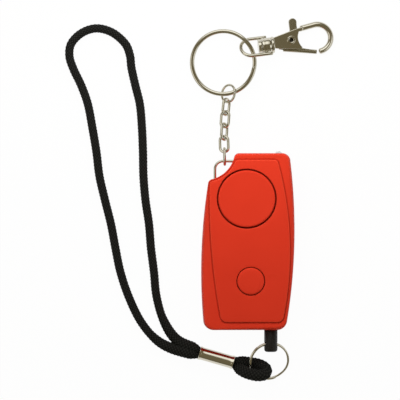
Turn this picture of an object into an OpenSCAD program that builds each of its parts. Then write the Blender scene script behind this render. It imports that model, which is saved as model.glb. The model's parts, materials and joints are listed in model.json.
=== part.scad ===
// Personal safety alarm: a hand-sized plastic case with a sounder, a push button and a lamp,
// a pull pin on a wrist strap at the bottom, and a chain, key ring and swivel clasp at the top.
// The alarm lies on its back: z = 0 is the table, +Y runs from the pin to the lamp, +Z faces the viewer.
// The origin is the middle of the case's flat back. All sizes are in millimetres.

/* [Case] */
// Height of the case, bottom edge to top edge
case_h = 70.6; // [68:0.2:76]
// Width of the case between the widest points of its two sides
case_w = 37.3; // [36.4:0.1:41]
// Thickness of the case, back to front
case_t = 15; // [14.6:0.1:17]
// Radius of the two bowed sides
side_r = 225; // [180:5:320]
// Height of the left side's widest point, from the middle
left_apex_y = -12; // [-16:1:-6]
// Height of the right side's widest point, from the middle
right_apex_y = 5; // [0:1:8]
// Radius of the two bottom corners
bottom_corner_r = 4; // [3:0.25:6]
// Radius of the top right corner
top_corner_r = 3.2; // [2.8:0.1:5]
// Radius of the bite out of the top left corner, where the bail sits
notch_r = 12; // [11:0.25:13]
// Rounding at both ends of the bite
notch_end_r = 2; // [1.8:0.1:2.4]
// Wall thickness of both shells
wall = 1.6; // [1.3:0.1:1.75]
// Height of the parting line between the shells
parting_z = 3.8; // [3.5:0.1:4]
// Radius of the front face's crown from top to bottom
crown_r = 600; // [400:20:1200]
// Step from the sloping rim up to the raised front panel
panel_step = 0.5; // [0.3:0.05:0.9]
// Radius of the panel's left side
panel_left_r = 265; // [220:5:320]
// Radius of the panel's right side
panel_right_r = 135; // [120:5:180]
// Rim width at the panel's top edge
panel_top_rim = 2.8; // [2.2:0.1:4]
// Rim width at the panel's bottom edge
panel_bottom_rim = 3.3; // [2.6:0.1:5]
// Rim width where the panel comes nearest to the left side
panel_left_rim = 3.35; // [2.4:0.05:5]
// Rim width where the panel comes nearest to the right side
panel_right_rim = 1.95; // [1.6:0.05:3]

/* [Sounder] */
// Diameter of the round sound disc on the front
sound_cap_d = 22.6; // [20:0.2:24]
// Width of the ring-shaped sound slot round the disc
sound_slot = 0.6; // [0.4:0.1:1]
// Distance of the sounder's middle below the case's top edge
sound_drop = 18.2; // [17.4:0.1:20]
// Diameter of the piezo disc
piezo_d = 20; // [18:0.2:20.4]

/* [Button] */
// Diameter of the push button
button_d = 10.8; // [9:0.2:13]
// Gap between the button and its hole
button_gap = 0.3; // [0.2:0.05:0.4]
// Height of the button above the front panel
button_proud = 0.5; // [0.2:0.1:1]
// Travel of the button
button_travel = 0.8; // [0.5:0.1:1]
// Distance of the button below the case's middle
button_drop = 15.7; // [15:0.1:17]

/* [Lamp] */
// Diameter of the lamp's lens
lamp_d = 3; // [2.6:0.1:3.4]
// Height that the lens stands out of the top edge
lamp_proud = 0.8; // [0.4:0.1:1.2]
// Distance of the lamp from the right side's widest point
lamp_inset = 6.4; // [6:0.1:8]

/* [Pull pin and ring] */
// Diameter of the pin's grip
pin_d = 5.3; // [4.4:0.1:5.5]
// Length of the grip outside the case
pin_grip = 8.7; // [8:0.1:12]
// Diameter of the stem inside the case
stem_d = 3.2; // [2.6:0.1:3.4]
// Height of the pin's axis above the table
pin_z = 7; // [6.9:0.1:7.6]
// Distance of the pin from the right side's widest point
pin_inset = 9.5; // [9:0.1:11]
// Outside diameter of the split ring through the pin
pin_ring_d = 16.2; // [15.5:0.1:17]
// Width of the pin ring's wire, in and out from its middle
pin_ring_w = 0.9; // [0.7:0.05:1]
// Thickness of one coil of the pin ring
pin_ring_t = 0.62; // [0.5:0.02:0.7]

/* [Strap] */
// Diameter of the braided cord
cord_d = 3.2; // [2.8:0.1:3.3]
// Diameter of each strand where the ferrule squeezes it
cord_end_d = 2.2; // [1.8:0.1:2.25]
// Length of the crimped ferrule
ferrule_l = 14.2; // [12:0.2:16]
// Diameter of the ferrule
ferrule_d = 5.1; // [5:0.1:5.6]
// Wall of the ferrule at its mouths
ferrule_wall = 0.28; // [0.2:0.02:0.3]

/* [Bail and chain] */
// Diameter of the bail's wire
bail_wire = 1.1; // [0.9:0.05:1.2]
// Distance of the bail's upper bar below the case's top edge
bail_drop = 3.2; // [3:0.1:3.8]
// Distance of the bail's side bar from the left side's widest point
bail_inset = 5.5; // [5:0.1:6]
// Height of the bail above the table
bail_z = 7.5; // [6.8:0.1:8]
// Diameter of the chain's wire
link_wire = 1.2; // [1:0.05:1.25]
// Inside length of a chain link
link_inner_l = 5.2; // [5:0.1:6]
// Inside width of a chain link
link_inner_w = 2.2; // [2.1:0.05:2.6]
// Play between a link and the next
link_play = 0.15; // [0.1:0.01:0.2]
// Outside diameter of the jump ring
jump_d = 8; // [7.8:0.1:8.6]
// Diameter of the jump ring's wire
jump_wire = 1; // [0.8:0.05:1.1]

/* [Key ring] */
// Outside diameter of the split key ring
key_ring_d = 26.8; // [25:0.2:32]
// Width of its flat wire, in and out from its middle
key_ring_w = 1.7; // [1.3:0.05:1.8]
// Thickness of one coil
key_ring_t = 1.1; // [0.9:0.05:1.15]
// Gap between the two coils
coil_gap = 0.1; // [0.06:0.01:0.14]

/* [Clasp] */
// Length from the trigger's pivot to the far end of the hook
hook_reach = 16.85; // [16:0.1:19]
// Diameter of the hook's round bar
hook_bar = 1.8; // [1.5:0.1:1.9]
// Radius of the hook's bend, to the middle of the bar
hook_r = 5.25; // [5:0.05:5.6]
// Thickness of the clasp's body
clasp_t = 4; // [3.7:0.1:4.2]
// Thickness of the trigger plate
trigger_t = 1.6; // [1.3:0.1:1.7]
// Play on each face of the trigger
trigger_play = 0.15; // [0.1:0.01:0.2]
// Diameter of the swivel's barrel
barrel_d = 6.2; // [6:0.1:6.6]
// Diameter of the swivel's post
post_d = 3; // [2.6:0.1:3.2]
// Play round the post and the rivet
pivot_play = 0.06; // [0.04:0.01:0.08]
// Diameter of the hollow rivet that the trigger turns on
rivet_d = 2.4; // [2.2:0.1:2.6]
// Diameter of the eye's wire
eye_wire = 1.4; // [1.2:0.05:1.45]
// Inside width of the eye
eye_inner_w = 7; // [6.8:0.1:7.6]
// Length of the eye, from the barrel to its round end
eye_reach = 9; // [8.6:0.1:10]

/* [Power] */
// Diameter of the battery cell
cell_d = 10.3; // [9.6:0.1:10.4]
// Length of the battery cell
cell_l = 16; // [15:0.1:18]

/* [Hidden] */
$fn = 48;
eps = 0.01;
fit = 0.15;
case_color = "orangered";
metal_color = "silver";
black_color = [0.08, 0.08, 0.08];

// Points on a circle, and vectors
function polar(c, r, a) = [c.x + r * cos(a), c.y + r * sin(a)];
function arc(c, r, a0, a1, n) = [for (i = [0:n]) polar(c, r, a0 + (a1 - a0) * i / n)];
function angle_of(v) = atan2(v.y, v.x);
function turn_of(v) = (angle_of(v) + 360) % 360;
function at_z(points, z) = [for (p = points) [p.x, p.y, z]];
function unit(v) = v / norm(v);

// Centre of a corner circle, at radius r from c and at height y, to the right or left of c
function corner_at(c, r, y, side) = [c.x + side * sqrt(r * r - (y - c.y) * (y - c.y)), y];

// Lower crossing of two circles
function crossing(a, ra, b, rb) =
    let (
        d = norm(b - a),
        t = (ra * ra - rb * rb + d * d) / (2 * d),
        h = sqrt(ra * ra - t * t),
        e = (b - a) / d
    )
    [a.x + e.x * t + e.y * h, a.y + e.y * t - e.x * h];

// Bowed outline with a bite out of its top left corner, drawn in by inset.
// shape is [left apex, right apex, left and right side radius, top, bottom, bite radius, bite ends,
// top corner, bottom corners].
function bowed_outline(shape, inset) =
    let (
        left_r = shape[2],
        right_r = shape[3],
        cl = [shape[0].x + left_r, shape[0].y],
        cr = [shape[1].x - right_r, shape[1].y],
        top = shape[4],
        bottom = shape[5],
        bite = shape[6],
        re = shape[7],
        rt = shape[8],
        rb = shape[9],
        br = corner_at(cr, right_r - rb, bottom + rb, 1),
        tr = corner_at(cr, right_r - rt, top - rt, 1),
        nt = corner_at(notch_c, bite + re, top - re, 1),
        nl = crossing(notch_c, bite + re, cl, left_r - re),
        bl = corner_at(cl, left_r - rb, bottom + rb, -1)
    )
    concat(
        arc(br, rb - inset, -90, angle_of(br - cr), 5),
        arc(cr, right_r - inset, angle_of(br - cr), angle_of(tr - cr), 10),
        arc(tr, rt - inset, angle_of(tr - cr), 90, 5),
        arc(nt, re - inset, 90, turn_of(notch_c - nt), 4),
        arc(notch_c, bite + inset, angle_of(nt - notch_c), angle_of(nl - notch_c), 10),
        arc(nl, re - inset, turn_of(notch_c - nl), turn_of(nl - cl), 4),
        arc(cl, left_r - inset, turn_of(nl - cl), turn_of(bl - cl), 10),
        arc(bl, rb - inset, turn_of(bl - cl), 270, 5)
    );

// Outlines of the case, of its inside, where the bite has a thick wall for the bail, and of the front panel
left_x = -case_w / 2 - 0.1;
right_x = case_w / 2 - 0.1;
top_y = case_h / 2;
bottom_y = -case_h / 2;
notch_c = [left_x + 1.55, top_y + 1.3];
bail_wall = 2.2;
panel_left_apex_y = 18;
panel_right_apex_y = -4;
panel_notch_rim = 0.9;
panel_end_r = 1.4;
panel_top_r = 1.6;
panel_bottom_r = 2.6;
cavity_end_r = 3;
cavity_top_r = wall + 0.85;
case_shape = [
    [left_x, left_apex_y], [right_x, right_apex_y], side_r, side_r, top_y, bottom_y,
    notch_r, notch_end_r, top_corner_r, bottom_corner_r
];
cavity_shape = [
    [left_x, left_apex_y], [right_x, right_apex_y], side_r, side_r, top_y, bottom_y,
    notch_r + bail_wall - wall, cavity_end_r, cavity_top_r, bottom_corner_r
];
panel_shape = [
    [left_x + panel_left_rim, panel_left_apex_y], [right_x - panel_right_rim, panel_right_apex_y],
    panel_left_r, panel_right_r, top_y - panel_top_rim, bottom_y + panel_bottom_rim,
    notch_r + panel_notch_rim, panel_end_r, panel_top_r, panel_bottom_r
];

// Levels of the two shells: how far each ring of the outer skin is drawn in, and at what height
function crown_z(y) = case_t - y * y / (2 * crown_r);
rear_levels = [[1.5, 0], [0.8, 0.3], [0.3, 0.9], [0, 1.8], [0, parting_z]];
front_levels = [[0, parting_z], [0.2, case_t - 5.4], [0.6, case_t - 3.6], [1.2, case_t - 2.5]];
panel_edge = bowed_outline(panel_shape, -0.3);
rear_rings = [for (l = rear_levels) at_z(bowed_outline(case_shape, l[0]), l[1])];
rim_rings = concat(
    [for (l = front_levels) at_z(bowed_outline(case_shape, l[0]), l[1])],
    [[for (p = panel_edge) [p.x, p.y, crown_z(p.y) - panel_step]]]
);
floor_z = wall;
ceiling_z = case_t - 3;
lip_h = 1;
lip_t = 0.55;

// Sounder
sound_y = top_y - sound_drop;
sound_c = [-0.6, sound_y];
sound_hole_d = sound_cap_d + 2 * sound_slot;
throat_d = sound_cap_d - 6;
ledge_z = ceiling_z + 0.9;
sound_cap_z = crown_z(sound_y) + 0.25;
sound_cap_t = 1.6;
seal_t = 1.1;
tube_wall = 1.5;
tube_h = 3;
piezo_t = 0.3;
piezo_z = ceiling_z - 2.1;
ceramic_d = piezo_d - 5;
ceramic_t = 0.25;

// Lamp
lamp_c = [right_x - lamp_inset, top_y];
lamp_z = 8;
lamp_flange_t = 1;
lead_d = 0.5;
lead_l = 5;
lead_x = 0.9;

// Screws: the case's three, and the battery door's one
case_screw_at = [[5, top_y - 4.3], [left_x + 5.7, bottom_y + 6.8], [right_x - 4.9, bottom_y + 16.3]];
case_screw_l = 8.4;
door_screw_l = 3.2;
screw_d = 1.7;
screw_head_d = 3.4;
screw_head_t = 1.2;
door_head_t = 0.6;
door_head_z = 0.7;
post_boss_d = 4.6;

// Battery and its door
cell_c = [0, -2.2];
cell_z = 6.6;
door_ledge = 0.8;
door_hole_w = cell_l + 1.5;
door_hole_h = cell_d + 1.1;
door_w = door_hole_w + 2 * door_ledge;
door_h = door_hole_h + 2 * door_ledge;
door_t = 1;
door_screw_at = [0, cell_c.y - door_h / 2 - 1.4];
contact_t = 0.4;
spring_x = -cell_l / 2 - 1.35;
plate_x = cell_l / 2 + 0.65;
contact_w = 5.6;
contact_h = 7.4;
contact_drop = 3.8;
contact_wall_w = 7;
contact_wall_h = 8;

// Button, its switch and the board
button_c = [1, -button_drop];
button_top = crown_z(button_drop) + button_proud;
button_flange = 1;
flange_t = 0.8;
board_z = 2.4;
board_t = 1.2;
board_w = case_w - 12.3;
board_top = door_screw_at.y - post_boss_d / 2 - 0.1;
board_bottom = bottom_y + wall + 1.1;
board_post_at = [[-9, -14.6], [8.6, -14.6], [-4, bottom_y + wall + 3.2]];
board_post_d = 2.2;
switch_w = 6;
switch_h = 3.4;
plunger_d = 3.5;
plunger_h = 2.2;
plunger_sink = 1;
plunger_z = board_z + board_t + switch_h - plunger_sink;
stem_bottom = plunger_z + plunger_h;
coil_r = 4;
coil_h = 6;
coil_c = [6 - board_w / 2, bottom_y + 9];
chip_w = 4.8;
chip_l = 3.9;
chip_t = 1.4;
chip_at = [2.1 - board_w / 2, coil_c.y + coil_r + 1.8];

// Pull pin: the grip's foot, the cross hole for the ring, and the ring's lie
pin_x = right_x - pin_inset;
pin_play = 0.1;
pin_foot_y = bottom_y + wall - 0.2;
pin_end_y = bottom_y - pin_grip;
pin_hole_y = pin_end_y + 3.4;
pin_tip_y = bottom_y + 10.7;
pin_hole_d = 2.4;
pin_roll = 12;
ring_droop = 22.2;
pin_ring_r = (pin_ring_d - pin_ring_w) / 2;

// Ferrule, and the routes of the cord: the wrist loop and the small loop through the pin ring
ferrule_mid = [-12.6, -46.4];
ferrule_turn = -16;
ferrule_z = ferrule_d / 2 + 0.25;
ferrule_flare = 0.2;
mouth_depth = 0.8;
cord_back = 0.36;
squeeze_l = 7;
wrist_route = [
    [-28.6, -39.2, 1.8], [-33.8, -31.4, 1.7], [-36.6, -21.8, 1.7], [-37.6, -12.2, 1.7], [-38.8, -2.6, 1.7],
    [-39.6, 7, 1.7], [-41, 16.6, 1.7], [-41.8, 26.2, 1.7], [-42, 35.8, 1.7], [-42.4, 45.4, 1.7],
    [-43.2, 54.6, 1.7], [-45, 62.2, 1.7], [-46.6, 69.4, 1.7], [-47.2, 74.4, 1.7], [-49.2, 79.2, 1.7],
    [-54.4, 83.6, 1.7], [-60.6, 85.2, 1.7], [-66.4, 83.4, 1.7], [-70.6, 79.2, 1.7], [-71.4, 74.2, 1.7],
    [-69.8, 69, 1.7], [-66.6, 62.2, 1.7], [-64, 54.8, 1.7], [-62.2, 45.4, 1.7], [-60.6, 35.8, 1.7],
    [-59.4, 26.2, 1.7], [-57.2, 16.6, 1.7], [-54.8, 7, 1.7], [-53, -2.6, 1.7], [-51, -12.2, 1.7],
    [-47.8, -21.8, 1.7], [-43.2, -31.4, 1.7], [-37.6, -38.4, 1.7], [-31.2, -42.4, 1.8]
];
loop_route = [
    [-1.4, -47.8, 2.1], [1.8, -48.2, 1.9], [4.8, -49, 2.6], [6.7, -50.3, 3.9], [7.3, -51.8, 5.2],
    [6.4, -53.2, 6.2], [4.4, -53.8, 6.6], [1.8, -53.5, 6.3], [-1.6, -52.3, 5]
];

// Bail, and the way the chain runs from it down to the table
bail_y = top_y - bail_drop;
bail_x = left_x + bail_inset;
bail_bend_r = 3.2;
bail_seat = 3.6;
bail_hole_play = 0.05;
chain_start = [-9.4, bail_y, bail_z];
chain_turns = [1, 2, -3, -4, -6];
chain_rolls = [90, -15, 50, -25, 45];
jump_turn = -12;
jump_roll = -44;
link_end = (link_inner_l + link_wire) / 2;
link_r = (link_inner_w + link_wire) / 2;
link_pitch = 2 * link_end - link_wire - link_play;
first_reach = link_end - (link_wire + bail_wire) / 2 - link_play;
last_reach = link_end - (link_wire + jump_wire) / 2 - link_play;
chain_l = first_reach + 4 * link_pitch + last_reach;
jump_r = (jump_d - jump_wire) / 2;

// Clasp, in its own frame: u along the swivel's axis towards the hook, v up the page, w off the table
clasp_turn = 7;
clasp_dip = 5.7;
collar_d = barrel_d + 0.4;
collar_t = 1;
barrel_l = 3.7;
head_d = post_d + 2.6;
head_t = 1.4;
swivel_gap = 0.12;
collar_u = -8;
barrel_u = collar_u - swivel_gap - barrel_l;
eye_r = (eye_inner_w + eye_wire) / 2;
eye_lap = 0.55;
eye_u = barrel_u + eye_lap - eye_reach + eye_r;
eye_roll = -36;
rivet_v = 1;
neck_u = 3.4;
rivet_head_d = rivet_d + 1;
rivet_bore_d = 1.6;
hook_c = [hook_reach - hook_r - hook_bar / 2, 0.6];
hook_top_a = 100;
hook_nose_a = -86;
clasp_z = collar_d / 2 + 0.1 + collar_u * sin(clasp_dip);

// Key ring: it lies on the table at its left and on the eye at its right
key_turn = 27;
key_low_turn = 185;
jump_at = -80.6;
eye_shift = 0.35;
ramp_from = 0;
ramp_to = 55;
key_r = (key_ring_d - key_ring_w) / 2;
key_level = (key_ring_t + coil_gap) / 2;
key_half_t = key_level + key_ring_t / 2;
eye_z = clasp_z - eye_u * sin(clasp_dip);
key_slope = (eye_z - key_half_t - 0.03) / (key_ring_d / 2 - key_r * cos(key_turn - key_low_turn));
key_z = key_half_t + 0.03 + key_slope * key_ring_d / 2;
function key_height(a) = key_z - key_slope * key_r * cos(a - key_low_turn);
jump_z = key_height(jump_at) + 0.05;
chain_slope = asin((bail_z - jump_z) / chain_l);

// Each chain link's middle: a step along its own turn and the chain's slope
function heading(turn, slope) = [-sin(turn) * cos(slope), cos(turn) * cos(slope), -sin(slope)];
function link_way(i) = heading(chain_turns[i], chain_slope);
function link_mid(i) =
    i == 0 ? chain_start + first_reach * link_way(0)
           : link_mid(i - 1) + link_pitch / 2 * (link_way(i - 1) + link_way(i));
jump_mid = link_mid(4) + last_reach * link_way(4) + jump_r * heading(jump_turn, 0);
key_c = [jump_mid.x - key_r * cos(jump_at), jump_mid.y - key_r * sin(jump_at)];
key_wire = [key_c.x + key_r * cos(key_turn), key_c.y + key_r * sin(key_turn)];
clasp_at = [
    key_wire.x - eye_u * cos(clasp_turn) - eye_shift * sin(clasp_turn),
    key_wire.y - eye_u * sin(clasp_turn) + eye_shift * cos(clasp_turn),
    clasp_z
];

// Smooth curve through a list of points, with steps parts to each stretch
function curve_point(p, i, t) =
    let (n = len(p) - 1, a = p[max(i - 1, 0)], b = p[i], c = p[min(i + 1, n)], d = p[min(i + 2, n)])
    0.5 * (2 * b + (c - a) * t + (2 * a - 5 * b + 4 * c - d) * t * t + (3 * b - a - 3 * c + d) * t * t * t);
function smooth(p, steps) = concat(
    [for (i = [0:len(p) - 2]) for (k = [0:steps - 1]) curve_point(p, i, k / steps)],
    [p[len(p) - 1]]
);

// Skin over a list of closed rings, one above another, with flat ends
module skin(rings) {
    n = len(rings[0]);
    m = len(rings);
    sides = [
        for (j = [0:m - 2]) for (i = [0:n - 1]) for (t = [0:1])
            t == 0 ? [j * n + i, j * n + n + (i + 1) % n, j * n + (i + 1) % n]
                   : [j * n + i, j * n + n + i, j * n + n + (i + 1) % n]
    ];
    ends = [[for (i = [0:n - 1]) i], [for (i = [n - 1:-1:0]) (m - 1) * n + i]];
    polyhedron([for (r = rings) each r], concat(sides, ends));
}

// Round tube along a route that stays near level; its radius shrinks to end_r over the squeezed ends
function run_to(p, i) = i == 0 ? 0 : run_to(p, i - 1) + norm(p[i] - p[i - 1]);
function tube_rings(p, r, end_r, sides) =
    let (n = len(p) - 1, total = run_to(p, n))
    [for (i = [0:n])
        let (
            way = unit(p[min(i + 1, n)] - p[max(i - 1, 0)]),
            across = unit(cross([0, 0, 1], way)),
            up = cross(way, across),
            s = run_to(p, i),
            near = min(s, total - s) / squeeze_l,
            q = end_r + (r - end_r) * sin(90 * min(near, 1))
        )
        [for (k = [0:sides - 1])
            let (a = 360 * (k + 0.5) / sides)
            p[i] + q * (across * cos(a) + up * sin(a))]
    ];
module cord(points, sides = 8) {
    skin(tube_rings(points, cord_d / 2, cord_end_d / 2, sides));
}

// Split ring: one flat wire wound nearly twice round, which climbs from its lower coil to its upper one
function climb(a, level) =
    a < 360 + ramp_from ? -level
    : a > 360 + ramp_to ? level
    : -level * cos(180 * (a - 360 - ramp_from) / (ramp_to - ramp_from));
module split_ring(r, w, t, level, steps = 54) {
    first = ramp_to + 6;
    last = 720 + ramp_from - 6;
    bevel = 0.28 * t;
    section = [
        [w / 2 - bevel, -t / 2], [bevel - w / 2, -t / 2], [-w / 2, bevel - t / 2], [-w / 2, t / 2 - bevel],
        [bevel - w / 2, t / 2], [w / 2 - bevel, t / 2], [w / 2, t / 2 - bevel], [w / 2, bevel - t / 2]
    ];
    skin([
        for (i = [0:steps])
            let (a = first + (last - first) * i / steps)
            [for (p = section) [(r + p.x) * cos(a), (r + p.x) * sin(a), climb(a, level) + p.y]]
    ]);
}

// Closed oval link of round wire, long along Y, lying flat
module oval_link() {
    straight = link_end - link_r;
    for (s = [-1, 1]) {
        translate([0, s * straight, 0])
            rotate([0, 0, s > 0 ? 0 : 180])
                rotate_extrude(angle = 180)
                    translate([link_r, 0])
                        circle(d = link_wire);
        translate([s * link_r, 0, 0])
            rotate([90, 0, 0])
                cylinder(d = link_wire, h = 2 * straight, center = true);
    }
}
module chain_link(i) {
    color(metal_color)
        translate(link_mid(i))
            rotate([0, 0, chain_turns[i]])
                rotate([-chain_slope, 0, 0])
                    rotate([0, chain_rolls[i], 0])
                        oval_link();
}

module rounded_box(w, h, t, r) {
    linear_extrude(t)
        polygon(concat(
            arc([w / 2 - r, h / 2 - r], r, 0, 90, 6), arc([r - w / 2, h / 2 - r], r, 90, 180, 6),
            arc([r - w / 2, r - h / 2], r, 180, 270, 6), arc([w / 2 - r, r - h / 2], r, 270, 360, 6)
        ));
}
module along_y(x, y, z, d, l) {
    translate([x, y, z])
        rotate([-90, 0, 0])
            cylinder(d = d, h = l);
}
module inside(shape, inset, z0, z1) {
    translate([0, 0, z0])
        linear_extrude(z1 - z0)
            polygon(bowed_outline(shape, inset));
}

// Case
module front_skin() {
    intersection() {
        union() {
            skin(rim_rings);
            inside(panel_shape, 0, parting_z + 1, case_t + 1);
        }
        translate([0, 0, case_t - crown_r])
            rotate([0, 90, 0])
                cylinder(r = crown_r, h = 2 * case_w, center = true, $fn = 900);
    }
}
module bail_bores() {
    d = bail_wire + 2 * bail_hole_play;
    translate([bail_x + bail_bend_r, bail_y, bail_z])
        rotate([0, 90, 0])
            cylinder(d = d, h = bail_bar_l() + fit);
    translate([bail_x, bail_y - bail_bend_r, bail_z])
        rotate([90, 0, 0])
            cylinder(d = d, h = bail_post_l() + fit);
}
module bail_bosses() {
    d = bail_wire + 2;
    intersection() {
        union() {
            translate([notch_wall_x(bail_y) + bail_wall / 2, bail_y, bail_z])
                rotate([0, 90, 0])
                    cylinder(d = d, h = bail_seat);
            translate([bail_x, notch_wall_y(bail_x) - bail_wall / 2, bail_z])
                rotate([90, 0, 0])
                    cylinder(d = d, h = bail_seat);
        }
        inside(case_shape, wall / 2, parting_z, ceiling_z);
    }
}
module front_shell() {
    color(case_color)
        difference() {
            union() {
                difference() {
                    front_skin();
                    inside(cavity_shape, wall, parting_z - 1, ceiling_z);
                }
                bail_bosses();
                for (p = case_screw_at)
                    translate([p.x, p.y, parting_z])
                        cylinder(d = post_boss_d, h = ceiling_z - parting_z + eps);
                translate([sound_c.x, sound_c.y, ceiling_z - tube_h])
                    difference() {
                        cylinder(d = piezo_d + 2 * fit + 2 * tube_wall, h = tube_h + eps);
                        translate([0, 0, -1])
                            cylinder(d = piezo_d + 2 * fit, h = tube_h + 1);
                    }
            }
            translate([sound_c.x, sound_c.y, ledge_z])
                cylinder(d = sound_hole_d, h = case_t);
            translate([sound_c.x, sound_c.y, ceiling_z - 1])
                cylinder(d = throat_d, h = case_t);
            translate([button_c.x, button_c.y, ceiling_z - 1])
                cylinder(d = button_d + 2 * button_gap, h = case_t);
            along_y(lamp_c.x, top_y - 2 * wall, lamp_z, lamp_d + 0.1, 4 * wall);
            along_y(pin_x, bottom_y - 1, pin_z, pin_d + 2 * pin_play, wall + 2);
            bail_bores();
            for (p = case_screw_at)
                translate([p.x, p.y, parting_z - 1])
                    cylinder(d = screw_d - 0.2, h = 7);
        }
}
module rear_shell() {
    color(case_color)
        difference() {
            union() {
                difference() {
                    skin(rear_rings);
                    inside(cavity_shape, wall, floor_z, parting_z + 1);
                }
                difference() {
                    inside(cavity_shape, wall + fit, floor_z, parting_z + lip_h);
                    inside(cavity_shape, wall + fit + lip_t, floor_z - 1, parting_z + lip_h + 1);
                    for (p = case_screw_at)
                        translate([p.x, p.y, 0])
                            cylinder(d = post_boss_d + 4 * fit, h = parting_z + lip_h + 1);
                }
                for (p = case_screw_at)
                    translate([p.x, p.y, floor_z / 2])
                        cylinder(d = post_boss_d, h = parting_z - floor_z / 2);
                translate([door_screw_at.x, door_screw_at.y, floor_z / 2])
                    cylinder(d = post_boss_d - 0.2, h = parting_z - floor_z / 2 + 0.6);
                for (p = board_post_at)
                    translate([p.x, p.y, floor_z / 2])
                        cylinder(d = board_post_d, h = board_z - floor_z / 2);
                contact_walls();
            }
            for (p = case_screw_at)
                screw_hole(p, parting_z + 1);
            translate([cell_c.x, cell_c.y, -1])
                rounded_box(door_w + 2 * fit, door_h + 2 * fit, 1 + door_t, 1.5);
            translate([cell_c.x, cell_c.y, -1])
                rounded_box(door_hole_w, door_hole_h, 2 + floor_z, 1);
            translate([door_screw_at.x, door_screw_at.y, -1])
                cylinder(d = post_boss_d + 1 + 2 * fit, h = 1 + door_t);
            translate([door_screw_at.x, door_screw_at.y, 0])
                cylinder(d = screw_d - 0.2, h = parting_z);
        }
}
module screw_hole(p, h) {
    translate([p.x, p.y, -1])
        cylinder(d = screw_d + 0.3, h = h + 1);
    translate([p.x, p.y, -1])
        cylinder(d = screw_head_d + 0.3, h = 1 + screw_head_t);
}
module contact_walls() {
    for (x = [spring_x - contact_t - wall, plate_x + contact_t])
        translate([x, cell_c.y - contact_wall_w / 2, floor_z / 2])
            cube([wall, contact_wall_w, contact_wall_h]);
}
module battery_door() {
    color(case_color)
        difference() {
            union() {
                translate([cell_c.x, cell_c.y, 0])
                    rounded_box(door_w, door_h, door_t, 1.5);
                translate([door_screw_at.x, door_screw_at.y, 0])
                    cylinder(d = post_boss_d + 1, h = door_t);
            }
            translate([door_screw_at.x, door_screw_at.y, -1])
                cylinder(d = screw_d + 0.3, h = 2 + door_t);
            translate([door_screw_at.x, door_screw_at.y, -1])
                cylinder(d = screw_head_d + 0.3, h = 1 + door_head_z);
            for (i = [-2:2])
                translate([cell_c.x + i * 2, cell_c.y + door_h / 2 - 3, -1])
                    rounded_box(0.8, 3, 1.3, 0.39);
        }
}
module screw(l, head_t) {
    difference() {
        union() {
            cylinder(d = screw_head_d, h = head_t);
            cylinder(d = screw_d - 0.3, h = l);
        }
        for (a = [0, 90])
            rotate([0, 0, a])
                translate([-0.9, -0.22, -1])
                    cube([1.8, 0.44, 1 + head_t / 2]);
    }
}
module case_screws() {
    color(metal_color)
        for (p = case_screw_at)
            translate([p.x, p.y, 0.2])
                screw(case_screw_l, screw_head_t - 0.2);
}
module door_screw() {
    color(metal_color)
        translate([door_screw_at.x, door_screw_at.y, door_head_z - door_head_t])
            screw(door_screw_l, door_head_t);
}

// Sounder
module sound_disc() {
    foot_w = 1.6;
    color(case_color)
        translate([sound_c.x, sound_c.y, 0]) {
            rotate_extrude()
                polygon([
                    [0, sound_cap_z - sound_cap_t], [sound_cap_d / 2, sound_cap_z - sound_cap_t],
                    [sound_cap_d / 2, sound_cap_z - 0.5], [sound_cap_d / 2 - 0.15, sound_cap_z - 0.15],
                    [sound_cap_d / 2 - 0.5, sound_cap_z], [0, sound_cap_z]
                ]);
            for (a = [30, 150, 270])
                rotate([0, 0, a])
                    translate([throat_d / 2 + 0.2, -foot_w / 2, ledge_z])
                        cube([1.2, foot_w, sound_cap_z - sound_cap_t - ledge_z + 0.3]);
        }
}
module piezo_disc() {
    color("goldenrod")
        translate([sound_c.x, sound_c.y, piezo_z - piezo_t]) {
            cylinder(d = piezo_d, h = piezo_t);
            translate([0, 0, -ceramic_t])
                cylinder(d = ceramic_d, h = ceramic_t + eps);
        }
}
module piezo_seal() {
    color(black_color)
        translate([sound_c.x, sound_c.y, piezo_z])
            difference() {
                cylinder(d = piezo_d, h = ceiling_z - piezo_z);
                translate([0, 0, -1])
                    cylinder(d = piezo_d - 2 * seal_t, h = ceiling_z - piezo_z + 2);
            }
}

// Button, switch and board
module push_button() {
    r = button_d / 2;
    color(case_color)
        translate([button_c.x, button_c.y, 0])
            rotate_extrude()
                polygon([
                    [0, stem_bottom], [2, stem_bottom], [2, ceiling_z - 0.1 - flange_t],
                    [r + button_flange, ceiling_z - 0.1 - flange_t], [r + button_flange, ceiling_z - 0.1],
                    [r, ceiling_z - 0.1], [r, button_top - 0.7], [r - 0.2, button_top - 0.3],
                    [r - 0.7, button_top - 0.1], [r / 2, button_top], [0, button_top]
                ]);
}
module switch_plunger() {
    color(black_color)
        translate([button_c.x, button_c.y, plunger_z])
            cylinder(d = plunger_d, h = plunger_h);
}
module button_switch() {
    color(black_color)
        translate([button_c.x, button_c.y, board_z + board_t])
            difference() {
                translate([-switch_w / 2, -switch_w / 2, 0])
                    cube([switch_w, switch_w, switch_h]);
                translate([0, 0, switch_h - plunger_sink - button_travel - 2 * fit])
                    cylinder(d = plunger_d + 0.2, h = switch_h);
            }
}
module circuit_board() {
    color("darkgreen")
        difference() {
            translate([0, (board_top + board_bottom) / 2, board_z])
                rounded_box(board_w, board_top - board_bottom, board_t, 1);
            for (p = case_screw_at)
                translate([p.x, p.y, 0])
                    cylinder(d = post_boss_d + 4 * fit, h = case_t);
        }
}
module boost_coil() {
    waist_r = coil_r - 0.4;
    color("saddlebrown")
        translate([coil_c.x, coil_c.y, board_z + board_t])
            rotate_extrude()
                polygon([
                    [0, 0], [coil_r, 0], [coil_r, 0.8], [waist_r, 1], [waist_r, coil_h - 1],
                    [coil_r, coil_h - 0.8], [coil_r, coil_h], [0, coil_h]
                ]);
}
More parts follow.
